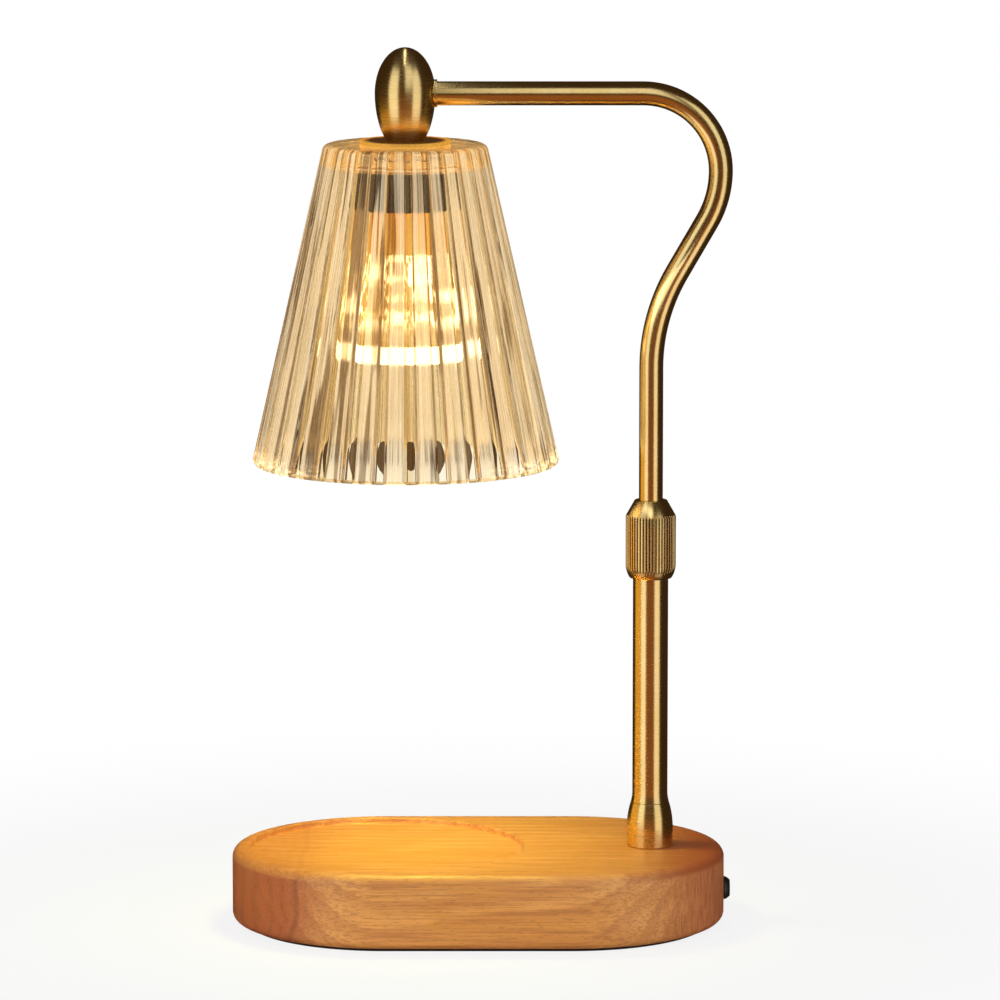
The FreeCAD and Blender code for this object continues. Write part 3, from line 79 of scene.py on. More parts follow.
WOOD_LOW, WOOD_HIGH = box_mm("wood_base")
POST_X = middle("post_tube").x
SHADE_X = middle("glass_shade").x
GLASS_LOW, GLASS_HIGH = box_mm("glass_shade")
NUT_LOW, NUT_HIGH = box_mm("clamp_nut")
KNURL_RADIUS, KNURL_FOOT, KNURL_TOP = 9.45, 6.1, 23.5  # the last two above the nut's foot
ARM_LOW, ARM_HIGH = box_mm("arm_tube")
ARM_RADIUS = (ARM_HIGH.y - ARM_LOW.y) / 2
ARM_LEVEL = ARM_HIGH.z - ARM_RADIUS


# ---------------------------------------------------------------- outlines

def arc(start, end, radius, steps=10):
    """Points from start to end along an arc; it bulges to the right of travel if radius is positive."""
    start, end = Vector(start), Vector(end)
    chord = end - start
    across = Vector((chord.y, -chord.x)).normalized()
    depth = math.sqrt(max(radius * radius - (chord.length / 2) ** 2, 0.0))
    centre = (start + end) / 2 - across * math.copysign(depth, radius)
    first = math.atan2(start.y - centre.y, start.x - centre.x)
    sweep = math.atan2(end.y - centre.y, end.x - centre.x) - first
    sweep = (sweep + math.pi) % TURN - math.pi
    return [(centre.x + abs(radius) * math.cos(first + sweep * k / steps),
             centre.y + abs(radius) * math.sin(first + sweep * k / steps)) for k in range(steps + 1)]


def rounded(corners, steps=5):
    """A closed outline: each corner is (x, y) or (x, y, rounding)."""
    points = []
    for index, corner in enumerate(corners):
        here = Vector(corner[:2])
        radius = corner[2] if len(corner) > 2 else 0.0
        if not radius:
            points.append(tuple(here))
            continue
        before = (Vector(corners[index - 1][:2]) - here).normalized()
        after = (Vector(corners[(index + 1) % len(corners)][:2]) - here).normalized()
        half = before.angle(after) / 2
        cut = radius / math.tan(half)
        centre = here + (before + after).normalized() * (radius / math.sin(half))
        first = here + before * cut - centre
        turn = first.angle_signed(here + after * cut - centre)
        for k in range(steps + 1):
            swing = -turn * k / steps
            points.append((centre.x + first.x * math.cos(swing) - first.y * math.sin(swing),
                           centre.y + first.x * math.sin(swing) + first.y * math.cos(swing)))
    return points


# ---------------------------------------------------------------- ways of making a mesh

def mesh_piece(name, points, faces):
    """A mesh object in the scene, from points in millimetres."""
    mesh = bpy.data.meshes.new(name)
    mesh.from_pydata([tuple(c * MM for c in p) for p in points], [], faces)
    mesh.validate()
    piece = bpy.data.objects.new(name, mesh)
    bpy.context.scene.collection.objects.link(piece)
    return piece


def shade(piece, angle=35):
    """Smooth shading, with edges kept where two faces meet at more than an angle in degrees."""
    piece.data.shade_smooth()
    piece.data.set_sharp_from_angle(angle=math.radians(angle))


def rings_mesh(name, rings, closed=True):
    """Joins rings of equal length by quads. Closed joins the last to the first; open ends are capped."""
    count = len(rings[0])
    points = [p for ring in rings for p in ring]
    pairs = range(len(rings) if closed else len(rings) - 1)
    faces = []
    for low in pairs:
        high = (low + 1) % len(rings)
        for k in range(count):
            after = (k + 1) % count
            faces.append((low * count + k, low * count + after, high * count + after, high * count + k))
    if not closed:
        faces.append(tuple(range(count))[::-1])
        faces.append(tuple((len(rings) - 1) * count + k for k in range(count)))
    return mesh_piece(name, points, faces)


def upright(x=0.0, z=0.0):
    """Puts a turned profile's (radius, height, angle) around a vertical axis."""
    return lambda r, h, a: (x + r * math.cos(a), r * math.sin(a), z + h)


def along_x(x, z):
    """Puts a turned profile around an axis along +X."""
    return lambda r, h, a: (x + h, r * math.cos(a), z + r * math.sin(a))


def turned(profile, place, segments, change=None):
    """A ring of points for each (radius, height) of a profile. Change alters the radius with the angle."""
    angles = [TURN * k / segments for k in range(segments)]
    return [[place(change(r, a) if change else r, h, a) for a in angles] for r, h in profile]


def lathe(name, profile, place, segments, change=None):
    """Turns a closed profile."""
    return rings_mesh(name, turned(profile, place, segments, change))


def spindle(name, profile, place, segments=96):
    """Turns an open profile and closes both ends with flat caps."""
    return rings_mesh(name, turned(profile, place, segments), closed=False)


def cut_away(piece, cutters):
    """Subtracts solids from a piece and removes them."""
    for cutter in cutters:
        cut = piece.modifiers.new("cut", "BOOLEAN")
        cut.operation = "DIFFERENCE"
        cut.solver = "EXACT"
        cut.object = cutter
    bpy.context.view_layer.update()
    result = bpy.data.meshes.new_from_object(piece.evaluated_get(bpy.context.evaluated_depsgraph_get()))
    piece.modifiers.clear()
    piece.data = result
    for cutter in cutters:
        bpy.data.objects.remove(cutter)


def obround(reach, radius, x, z, segments=48):
    """Points round a shape with two straight sides along X and two half-round ends."""
    points = []
    for end, first in ((1, -math.pi / 2), (-1, math.pi / 2)):
        for k in range(segments + 1):
            a = first + math.pi * k / segments
            points.append((x + end * reach + radius * math.cos(a), radius * math.sin(a), z))
    return points


def finish_piece(piece, body, material, slot, *nodes, angle=35):
    """Material, shading, body and the CAD nodes that the piece stands for. The slot is not used."""
    shade(piece, angle)
    piece.data.materials.clear()
    piece.data.materials.append(material)
    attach(piece, body)
    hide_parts(*nodes)


# ---------------------------------------------------------------- materials

class Graph:
    """The nodes of one material, with short ways to add and join them. Textures work in millimetres."""

    def __init__(self, name):
        self.material = bpy.data.materials.new(name)
        self.material.use_nodes = True
        self.tree = self.material.node_tree
        self.shader = self.tree.nodes["Principled BSDF"]
        self.millimetres = self.vector("SCALE", self.node("ShaderNodeTexCoord", "Object"), scale=1 / MM)

    def put(self, socket, value):
        if isinstance(value, bpy.types.NodeSocket):
            self.tree.links.new(value, socket)
        else:
            socket.default_value = value

    def node(self, kind, output=0, inputs=None, **settings):
        node = self.tree.nodes.new(kind)
        for key, value in settings.items():
            setattr(node, key, value)
        for key, value in (inputs or {}).items():
            self.put(node.inputs[key], value)
        return node.outputs[output]

    def set(self, **values):
        for key, value in values.items():
            self.put(self.shader.inputs[key.replace("_", " ")], value)

    def vector(self, operation, first, second=None, scale=None):
        inputs = {0: first}
        if second is not None:
            inputs[1] = second
        if scale is not None:
            inputs["Scale"] = scale
        return self.node("ShaderNodeVectorMath", 0, inputs, operation=operation)

    def math(self, operation, first, second=0.0):
        return self.node("ShaderNodeMath", 0, {0: first, 1: second}, operation=operation)

    def product(self, first, *others):
        for other in others:
            first = self.math("MULTIPLY", first, other)
        return first

    def total(self, first, *others):
        for other in others:
            first = self.math("ADD", first, other)
        return first

    def coordinate(self, axis, vector=None):
        """One coordinate of a vector, or of the place in millimetres."""
        return self.node("ShaderNodeSeparateXYZ", axis, {0: vector or self.millimetres})

    def level_offset(self, axis_x):
        """The level way to the place from an upright axis at this x, in millimetres."""
        offset = self.vector("SUBTRACT", self.millimetres, (axis_x, 0.0, 0.0))
        return self.vector("MULTIPLY", offset, (1.0, 1.0, 0.0))

    def length(self, vector):
        return self.node("ShaderNodeVectorMath", "Value", {0: vector}, operation="LENGTH")

    def noise(self, size, detail, rough=0.55, distortion=0.0, source=None):
        """Noise whose grain has about these sizes, in millimetres, along the source's X, Y and Z."""
        place = self.vector("MULTIPLY", source or self.millimetres, tuple(1 / c for c in size))
        inputs = {"Vector": place, "Scale": 1.0, "Detail": detail, "Roughness": rough,
                  "Distortion": distortion}
        return self.node("ShaderNodeTexNoise", 0, inputs)

    def ranged(self, value, low, high, to_low=0.0, to_high=1.0):
        """Maps low..high smoothly to to_low..to_high."""
        inputs = {"Value": value, "From Min": low, "From Max": high, "To Min": to_low, "To Max": to_high}
        return self.node("ShaderNodeMapRange", 0, inputs, interpolation_type="SMOOTHSTEP")

    def mix(self, factor, first, second):
        return self.node("ShaderNodeMix", 2, {0: factor, 6: first, 7: second}, data_type="RGBA")

    def bump(self, height, distance, normal=None):
        """Bump of a height from 0 to 1 that is distance millimetres deep."""
        inputs = {"Height": height, "Distance": distance * MM, "Strength": 1.0}
        if normal is not None:
            inputs["Normal"] = normal
        return self.node("ShaderNodeBump", 0, inputs)

    def surface(self, shader):
        """Puts another shader in the Principled one's place and returns the material."""
        self.tree.nodes.remove(self.shader)
        self.put(self.tree.nodes["Material Output"].inputs["Surface"], shader)
        return self.material


def rgb(red, green, blue):
    return (red, green, blue, 1.0)


def wood():
    """Satin hardwood: faint growth rings, fibres and short pores along X, and redder wood at both ends. The
    top of the right end is darkened by painted shade.
    """
    g = Graph("wood")
    x, y, z = (g.coordinate(axis) for axis in "XYZ")
    pith_y, pith_z, ring, sway = 190.0, -120.0, 5.2, 26.0
    drift = g.product(g.noise((170, 70, 60), detail=1), sway)
    away_y = g.total(g.math("SUBTRACT", y, pith_y), drift)
    away_z = g.math("SUBTRACT", z, pith_z)
    reach = g.math("SQRT", g.total(g.product(away_y, away_y), g.product(away_z, away_z)))
    phase = g.math("FRACT", g.math("DIVIDE", reach, ring))
    late = g.product(g.ranged(phase, 0.1, 0.85), g.ranged(phase, 1.0, 0.88))
    fibre = g.noise((30, 0.8, 0.8), detail=6, rough=0.6)
    cloud = g.noise((58, 17, 12), detail=2, distortion=0.6)
    pores = g.ranged(g.noise((3.6, 0.33, 0.33), detail=1), 0.61, 0.71)
    colour = g.mix(g.product(late, 0.5), rgb(0.94, 0.45, 0.135), rgb(0.64, 0.22, 0.065))
    colour = g.mix(g.ranged(cloud, 0.38, 0.62, 0.0, 0.7), colour, rgb(0.78, 0.32, 0.07))
    colour = g.mix(g.ranged(fibre, 0.42, 0.66, 0.0, 0.6), colour, rgb(0.55, 0.17, 0.05))

    # The heartwood lies left of a leaning, wandering edge and is paler on top. A thin dark seam runs in it.
    lean, strays, band_gap, band_sway = -0.17, 12.0, 4.6, 9.0
    heart_start, heart_full, seam_at, seam_reach, seam_core = -46.0, -72.0, -65.6, 1.8, 0.2
    wander = g.product(g.noise((60, 60, 34), detail=1), strays)
    edge = g.total(g.product(z, lean), x, wander)
    spacing = g.total(g.product(edge, TURN / band_gap), g.product(cloud, band_sway))
    bands = g.product(g.ranged(g.math("SINE", spacing), -0.4, 0.9), g.ranged(fibre, 0.35, 0.65, 0.3, 1.0))
    redder = g.mix(g.product(bands, 0.55), rgb(0.53, 0.115, 0.04), rgb(0.31, 0.06, 0.024))
    on_top = g.ranged(z, WOOD_HIGH.z - 4.4, WOOD_HIGH.z - 2.4)
    heart = g.ranged(edge, heart_start, heart_full)
    colour = g.mix(g.product(heart, g.ranged(on_top, 0.0, 1.0, 0.85, 0.3)), colour, redder)
    seam = g.product(g.ranged(edge, seam_at + seam_reach, seam_at + seam_core),
                     g.ranged(edge, seam_at - seam_reach, seam_at - seam_core))
    colour = g.mix(g.product(seam, g.ranged(on_top, 0.0, 1.0, 0.42, 0.1)), colour, rgb(0.24, 0.06, 0.025))

    # The right end shows end grain at its side, and its top is darkened by painted shade where the bulb's
    # light falls off.
    at_end = g.product(g.ranged(x, 58.0, 90.0), g.ranged(z, WOOD_HIGH.z, WOOD_HIGH.z - 3.0))
    hatch = g.ranged(g.noise((0.55, 0.55, 9), detail=2), 0.42, 0.62)
    end_grain = g.mix(hatch, rgb(0.76, 0.215, 0.08), rgb(0.42, 0.09, 0.038))
    colour = g.mix(g.product(at_end, 0.75), colour, end_grain)
    painted_falloff_shade = g.product(g.ranged(x, 46.0, 90.0), on_top)
    colour = g.mix(painted_falloff_shade, colour, rgb(0.5, 0.11, 0.025))

    colour = g.mix(g.product(pores, 0.42), colour, rgb(0.26, 0.09, 0.035))
    grain = g.math("SUBTRACT", g.product(fibre, 0.6), pores)
    g.set(Base_Color=colour, Roughness=g.ranged(fibre, 0.3, 0.7, 0.38, 0.52), Coat_Weight=0.1,
          Coat_Roughness=0.35, Normal=g.bump(grain, 0.05))
    return g.material


def brass(name, turned=True, knurl=None):
    """Satin brass: fine lines turned around the axis, which draw highlights out upwards, or an even satin.

    With knurl, the radius of a knurled outside and its lowest and highest z, painted shade darkens its
    grooves.
    """
    g = Graph(name)
    lines = g.noise((60, 60, 0.3), detail=3) if turned else g.noise((0.7, 0.7, 0.7), detail=4)
    tone = g.noise((9, 9, 14), detail=3)
    colour = g.mix(g.ranged(tone, 0.35, 0.65), rgb(0.80, 0.60, 0.24), rgb(0.84, 0.65, 0.29))
    colour = g.mix(g.ranged(lines, 0.4, 0.7, 0.0, 0.14), colour, rgb(0.66, 0.44, 0.14))
    if knurl:
        outside, low, high = knurl
        crest, root, darkest = 0.08, 0.3, 0.9
        reach = g.length(g.level_offset(POST_X))
        z = g.coordinate("Z")
        between = g.product(g.ranged(z, low - 5.0, low - 2.0), g.ranged(z, high + 0.2, high - 0.2))
        # Painted shade in the knurl's grooves.
        groove = g.product(between, g.ranged(reach, outside - crest, outside - root, 0.0, darkest))
        colour = g.mix(groove, colour, rgb(0.09, 0.045, 0.016))
    g.set(Base_Color=colour, Metallic=1.0, Normal=g.bump(lines, 0.0012 if turned else 0.001))
    if turned:
        g.set(Roughness=g.ranged(lines, 0.3, 0.7, 0.24, 0.29), Anisotropic=0.7, Anisotropic_Rotation=0.25,
              Tangent=g.node("ShaderNodeTangent", 0, direction_type="RADIAL", axis="Z"))
    else:
        g.set(Roughness=g.ranged(lines, 0.3, 0.7, 0.19, 0.25))
    return g.material


def ribbed_glass():
    """Pressed glass: satin ribs with fine streaks down the wall, clear flutes, and painted dark lines
    between them.

    The mesh's attributes are "rib", 1 on a rib and 0 in a flute, and "outer", 1 outside and 0 inside.
    The bulb's light in the thick top is painted: the top and the heads of the flutes are tinted and glow
    amber.
    The warm tints stand partly for the bulb's light, and ribs, edges and rim carry painted glow, glints and
    sparkles.
    """
    g = Graph("ribbed_glass")
    mean_radius = 45.0
    flat = g.level_offset(SHADE_X)
    around = g.vector("SCALE", g.vector("NORMALIZE", flat), scale=mean_radius)
    wall = g.vector("ADD", around, g.vector("MULTIPLY", g.millimetres, (0.0, 0.0, 1.0)))
    reach, z = g.length(flat), g.coordinate("Z")
    sideways = g.math("ABSOLUTE", g.coordinate("X", flat))
    rib = g.node("ShaderNodeAttribute", "Fac", attribute_name="rib")
    outer = g.node("ShaderNodeAttribute", "Fac", attribute_name="outer")
    facing = g.node("ShaderNodeLayerWeight", "Facing", {"Blend": 0.5})
    in_top = g.ranged(z, GLASS_HIGH.z - 9.0, GLASS_HIGH.z - 6.0)
    above_rim = g.ranged(z, GLASS_LOW.z + 20.0, GLASS_LOW.z + 26.0)
    at_rim = g.product(g.ranged(z, GLASS_LOW.z + 7.0, GLASS_LOW.z + 1.0), g.ranged(sideways, 24.0, 46.0))
    inward = g.ranged(reach, 33.0, 14.0, 0.6, 1.0)

    # Patterns that run down the wall, and two that don't. Glint and sparkle place painted highlights, and
    # the dark pattern places painted dark reflections.
    streak = g.noise((0.7, 0.7, 60), detail=3, source=wall)
    ripple = g.noise((2.6, 2.6, 34), detail=2, source=wall)
    glint = g.noise((1.6, 1.6, 80), detail=2, source=wall)
    tone = g.noise((8, 8, 150), detail=1, source=wall)
    # Painted dark streaks, standing for dark surroundings seen through the glass.
    dark = g.product(g.ranged(g.noise((4.2, 4.2, 100), detail=2, source=wall), 0.55, 0.61), outer)
    stipple = g.noise((1.1, 1.1, 1.4), detail=1)
    sparkle = g.noise((2.4, 2.4, 1.6), detail=1)

    # Where the place lies across the flutes, and how milky, rough and wavy the glass is there.
    on_rib = g.product(g.ranged(rib, 0.6, 0.9), outer)
    in_flute = g.product(g.ranged(rib, 0.35, 0.05), outer)
    from_edge = g.math("ABSOLUTE", g.math("SUBTRACT", rib, 0.5))
    edge = g.product(g.ranged(from_edge, 0.45, 0.2), outer)
    clear = g.math("SUBTRACT", 1.0, g.product(dark, 0.85))
    milky = g.product(on_rib, clear, g.ranged(streak, 0.3, 0.7, 0.15, 0.45))
    frost = g.product(on_rib, g.ranged(streak, 0.3, 0.7, 0.12, 0.3))
    waves = g.product(ripple, outer, g.ranged(in_flute, 0.0, 1.0, 1.0, 0.15))
    dimples = g.product(stipple, in_flute, above_rim)

    # Warm tints that stand partly for the bulb's warm light; in the top, the amber is painted light from
    # the bulb.
    rib_tint = g.mix(g.ranged(tone, 0.38, 0.62), rgb(1.0, 0.90, 0.70), rgb(0.94, 0.74, 0.48))
    rib_tint = g.mix(in_top, rib_tint, rgb(0.92, 0.80, 0.60))
    flute_tint = g.mix(g.ranged(tone, 0.38, 0.62), rgb(0.88, 0.68, 0.36), rgb(0.99, 0.91, 0.70))
    flute_tint = g.mix(in_top, flute_tint, rgb(0.80, 0.46, 0.14))
    tint = g.mix(on_rib, flute_tint, rib_tint)
    # Painted shade: dark brown lines where ribs meet flutes, then the painted dark streaks, then a darker
    # outline where the glass is seen edge-on.
    painted_line_share = g.math("MAXIMUM", g.ranged(tone, 0.35, 0.6, 0.3, 0.95), in_top)
    tint = g.mix(g.product(edge, painted_line_share), tint, rgb(0.24, 0.105, 0.02))
    tint = g.mix(g.product(dark, 0.9), tint, rgb(0.15, 0.07, 0.02))
    outline = g.product(g.ranged(facing, 0.78, 0.95, 0.0, 0.75), outer)
    tint = g.mix(outline, tint, rgb(0.42, 0.24, 0.08))

    # Painted light: the ribs glow with the bulb's light, the edges carry painted glints, the top glows
    # amber and the rim sparkles.
    painted_rib_glow = g.ranged(g.product(on_rib, clear, streak), 0.2, 0.7, 0.02, 0.34)
    painted_edge_glint = g.product(edge, g.ranged(glint, 0.54, 0.66, 0.0, 0.5))
    painted_top_glow = g.product(in_top, inward, g.ranged(on_rib, 0.0, 1.0, 0.16, 0.05))
    painted_rim_sparkle = g.product(at_rim, g.ranged(sparkle, 0.48, 0.62, 0.0, 0.7))
    glow = g.total(g.total(painted_rib_glow, painted_edge_glint), g.total(painted_top_glow, painted_rim_sparkle))
    g.set(Base_Color=tint, IOR=1.5, Specular_IOR_Level=0.25, Specular_Tint=rgb(1.0, 0.76, 0.45),
          Transmission_Weight=g.math("SUBTRACT", 1.0, milky),
          Roughness=g.total(frost, 0.01), Normal=g.bump(dimples, 0.03, normal=g.bump(waves, 0.22)),
          Emission_Color=g.mix(in_top, rgb(1.0, 0.74, 0.40), rgb(1.0, 0.6, 0.2)), Emission_Strength=glow)
    return g.material


def lit_silicone():
    """Amber silicone with painted shade in its middle and a painted glow of the shade's light at its outer
    edge.
    """
    g = Graph("silicone")
    patch = g.noise((1, 1, 1), detail=4)
    painted_light_share = g.ranged(g.length(g.level_offset(SHADE_X)), 13.0, 16.9)
    colour = g.mix(painted_light_share, rgb(0.2, 0.08, 0.012), rgb(0.86, 0.52, 0.10))
    g.set(Base_Color=colour, IOR=1.41, Transmission_Weight=0.6,
          Roughness=g.ranged(patch, 0.3, 0.7, 0.24, 0.36),
          Emission_Color=rgb(1.0, 0.52, 0.07), Emission_Strength=g.product(painted_light_share, 0.3),
          Normal=g.bump(patch, 0.02))
    return g.material


def glowing(name, colour, strength):
    """A lit surface whose brightness varies a little, as behind moulded glass."""
    g = Graph(name)
    patch = g.noise((1.5, 1.5, 1.5), detail=2)
    g.set(Base_Color=g.mix(patch, rgb(0.8, 0.7, 0.5), rgb(0.95, 0.9, 0.8)), Roughness=0.3,
          Emission_Color=colour, Emission_Strength=g.ranged(patch, 0.3, 0.7, strength * 0.75, strength))
    return g.material


def lit_reflector():
    """The bulb's bowl: facets that glow unevenly from the source inside, strongest in its upper part."""
    g = Graph("lit_reflector")
    x, y, z = (g.coordinate(axis) for axis in "XYZ")
    foot, facets = box_mm("bulb_reflector")[0].z, 36
    angle = g.math("ARCTAN2", y, g.math("SUBTRACT", x, SHADE_X))
    facet = g.math("ABSOLUTE", g.math("SINE", g.product(angle, facets / 2)))
    patch = g.ranged(g.noise((9, 9, 6), detail=2), 0.42, 0.6)
    glow = g.product(g.ranged(facet, 0.0, 1.0, 0.25, 0.7), g.ranged(patch, 0.0, 1.0, 0.5, 4.2))
    glow = g.product(glow, g.total(g.product(g.ranged(z, foot + 4.0, foot + 10.0), 0.92), 0.08))
    colour = g.mix(patch, rgb(1.0, 0.60, 0.18), rgb(1.0, 0.9, 0.64))
    g.set(Base_Color=rgb(0.9, 0.74, 0.45), Metallic=1.0, Roughness=g.ranged(facet, 0.0, 1.0, 0.15, 0.3),
          Emission_Color=colour, Emission_Strength=glow, Normal=g.bump(facet, 0.2))
    return g.material


def plain(name, colour, dark, rough, metallic=0.0, grain=(1, 1, 1), depth=0.02, **more):
    """A moulded, glazed or plated surface: two tones in a fine grain, with uneven gloss."""
    g = Graph(name)
    patch = g.noise(grain, detail=4)
    g.set(Base_Color=g.mix(g.ranged(patch, 0.35, 0.65), dark, colour), Metallic=metallic,
          Roughness=g.ranged(patch, 0.3, 0.7, rough * 0.8, rough * 1.15),
          Normal=g.bump(patch, depth), **more)
    return g.material


MATERIALS = {
    "walnut_base": wood(),
    "polished_brass": brass("turned_brass"),
    "foam_pad": plain("foam", rgb(0.035, 0.033, 0.03), rgb(0.02, 0.018, 0.017), 0.9, depth=0.15),
    "black_plastic": plain("black_plastic", rgb(0.02, 0.02, 0.022), rgb(0.012, 0.012, 0.013), 0.38,
                           grain=(0.3, 0.3, 0.3)),
    "white_plastic": plain("white_plastic", rgb(0.82, 0.8, 0.74), rgb(0.76, 0.73, 0.66), 0.4),
    "zinc_steel": plain("zinc_steel", rgb(0.66, 0.66, 0.65), rgb(0.5, 0.5, 0.5), 0.3, metallic=1.0),
    "lead_sheath": plain("lead_sheath", rgb(0.86, 0.83, 0.75), rgb(0.78, 0.75, 0.67), 0.55),
    "silicone": lit_silicone(),
    "dark_metal": plain("dark_metal", rgb(0.03, 0.013, 0.004), rgb(0.012, 0.005, 0.002), 0.32,
                        grain=(1, 1, 3), Specular_IOR_Level=0.2, Specular_Tint=rgb(1.0, 0.55, 0.2)),
    # Painted glow: the ceramic glows amber with the bulb's light, and its orange colour is partly that
    # light.
    "ceramic": plain("ceramic", rgb(0.90, 0.52, 0.12), rgb(0.82, 0.44, 0.08), 0.3, Coat_Weight=0.3,
                     Emission_Color=rgb(1.0, 0.58, 0.06), Emission_Strength=0.32),
    "clear_glass": glowing("lit_lens", rgb(1.0, 0.9, 0.7), 3.0),
    "reflector": glowing("lit_ring", rgb(1.0, 0.92, 0.72), 3.2),
}
BENT_BRASS = brass("bent_brass", turned=False)
KNURLED_BRASS = brass("knurled_brass", knurl=(KNURL_RADIUS, NUT_LOW.z + KNURL_FOOT, NUT_LOW.z + KNURL_TOP))
GLASS = ribbed_glass()
LIT_REFLECTOR = lit_reflector()


# ---------------------------------------------------------------- the base

def wood_block():
    """Rounded block with the jar's recess, the wiring cavity, and the bores of stud and cord inlet."""
    top_round, bottom_round, recess_round, floor_round = 4.0, 3.5, 0.7, 0.8
    radius = WOOD_HIGH.y
    reach = WOOD_HIGH.x - radius
    low, high = WOOD_LOW.z, WOOD_HIGH.z
    profile = [(radius - bottom_round, low)]
    profile += arc((radius - bottom_round, low), (radius, low + bottom_round), bottom_round, 8)[1:]
    profile += arc((radius, high - top_round), (radius - top_round, high), top_round, 10)
    block = rings_mesh("wood_base", [obround(reach, r, 0.0, z) for r, z in profile], closed=False)

    past = 1.0
    recess_radius, recess_floor, axis = 51.7, high - 2.2, 0.01
    brim = recess_radius + recess_round
    recess = [(axis, recess_floor)]
    recess += arc((recess_radius - floor_round, recess_floor), (recess_radius, recess_floor + floor_round),
                  floor_round, 4)
    recess += arc((recess_radius, high - recess_round), (brim, high), -recess_round, 5)
    recess += [(brim, high + past), (axis, high + past)]
    cover_low, cover_high = box_mm("base_cover")
    cover_play, rebate_roof, cavity_margin, cavity_roof = 0.3, low + 2.0, 8.0, high - 9.0
    cover_radius = (cover_high.y - cover_low.y) / 2 + cover_play
    cover_x = (cover_low.x + cover_high.x) / 2
    cover_reach = (cover_high.x - cover_low.x) / 2 + cover_play - cover_radius
    gland_low, gland_high = box_mm("cord_gland")
    gland_z = (gland_low.z + gland_high.z) / 2
    inlet_radius, inlet_depth, inlet_past, stud_hole = 3.75, 20.0, 2.0, 5.2
    cutters = [
        spindle("recess_tool", recess, upright(x=-reach), segments=192),
        rings_mesh("rebate_tool", [obround(cover_reach, cover_radius, cover_x, z, 24)
                                   for z in (low - past, rebate_roof)], closed=False),
        rings_mesh("cavity_tool", [obround(cover_reach, cover_radius - cavity_margin, cover_x, z, 24)
                                   for z in (low - past, cavity_roof)], closed=False),
        spindle("stud_tool", [(stud_hole, cavity_roof - past), (stud_hole, high + past)],
                upright(x=POST_X)),
        spindle("inlet_tool", [(inlet_radius, -inlet_depth), (inlet_radius, inlet_past)],
                along_x(WOOD_HIGH.x, gland_z)),
    ]
    cut_away(block, cutters)
    finish_piece(block, "base", MATERIALS["walnut_base"], "walnut_base", "wood_base", angle=40)


def cord_inlet():
    """Domed bushing in the base's right end."""
    low, high = box_mm("cord_gland")
    bore, sleeve, flange, out = 2.6, 3.7, (high.z - low.z) / 2, high.x - WOOD_HIGH.x
    start, seat, rim, bevel = low.x - WOOD_HIGH.x, 0.05, out / 8, 0.1
    profile = [(bore, start), (sleeve, start), (sleeve, seat), (flange, seat), (flange, rim)]
    profile += arc((flange, rim), (bore + (flange - bore) / 4, out), 2 * out, 8)[1:]
    profile += [(bore + bevel, out), (bore, out - bevel)]
    piece = lathe("cord_gland", profile, along_x(WOOD_HIGH.x, (low.z + high.z) / 2), 64)
    finish_piece(piece, "base", MATERIALS["black_plastic"], "black_plastic", "cord_gland")


# ---------------------------------------------------------------- the post and its clamp

def ferrule():
    """Flared foot of the post."""
    low, high = box_mm("post_ferrule")
    foot, band, neck, shoulder = (high.x - low.x) / 2, 5.5, 7.3, 17.0
    thread, bore, spigot, thread_depth = 5.05, 3.2, 5.6, 11.5
    edge, edge_in, edge_down = 0.4, 0.12, 0.1
    length = high.z - low.z
    profile = [(thread, 0.0), (foot - edge, 0.0), (foot, edge)]
    profile += arc((foot, band), (neck, shoulder - edge), 2 * shoulder, 12)
    profile += [(neck - edge_in, shoulder - edge_down), (neck - edge, shoulder), (spigot, shoulder),
                (spigot, length), (bore, length), (bore, thread_depth), (thread, thread_depth)]
    piece = lathe("post_ferrule", profile, upright(POST_X, low.z), 128)
    finish_piece(piece, "base", MATERIALS["polished_brass"], "polished_brass", "post_ferrule")


def post():
    """Straight tube, a little opened out at its foot."""
    low, high = box_mm("post_tube")
    flare, widening, flare_length, wall, bevel = (high.x - low.x) / 2, 0.5, 3.5, 1.0, 0.15
    outside = flare - widening
    length = high.z - low.z
    profile = [(outside - wall, 0.0), (flare - bevel, 0.0), (flare, bevel)]
    profile += arc((flare, bevel), (outside, flare_length), -5 * flare_length, 8)[1:]
    profile += [(outside, length / 2), (outside, length), (outside - wall, length)]
    piece = lathe("post_tube", profile, upright(POST_X, low.z), 128)
    finish_piece(piece, "base", MATERIALS["polished_brass"], "polished_brass", "post_tube")


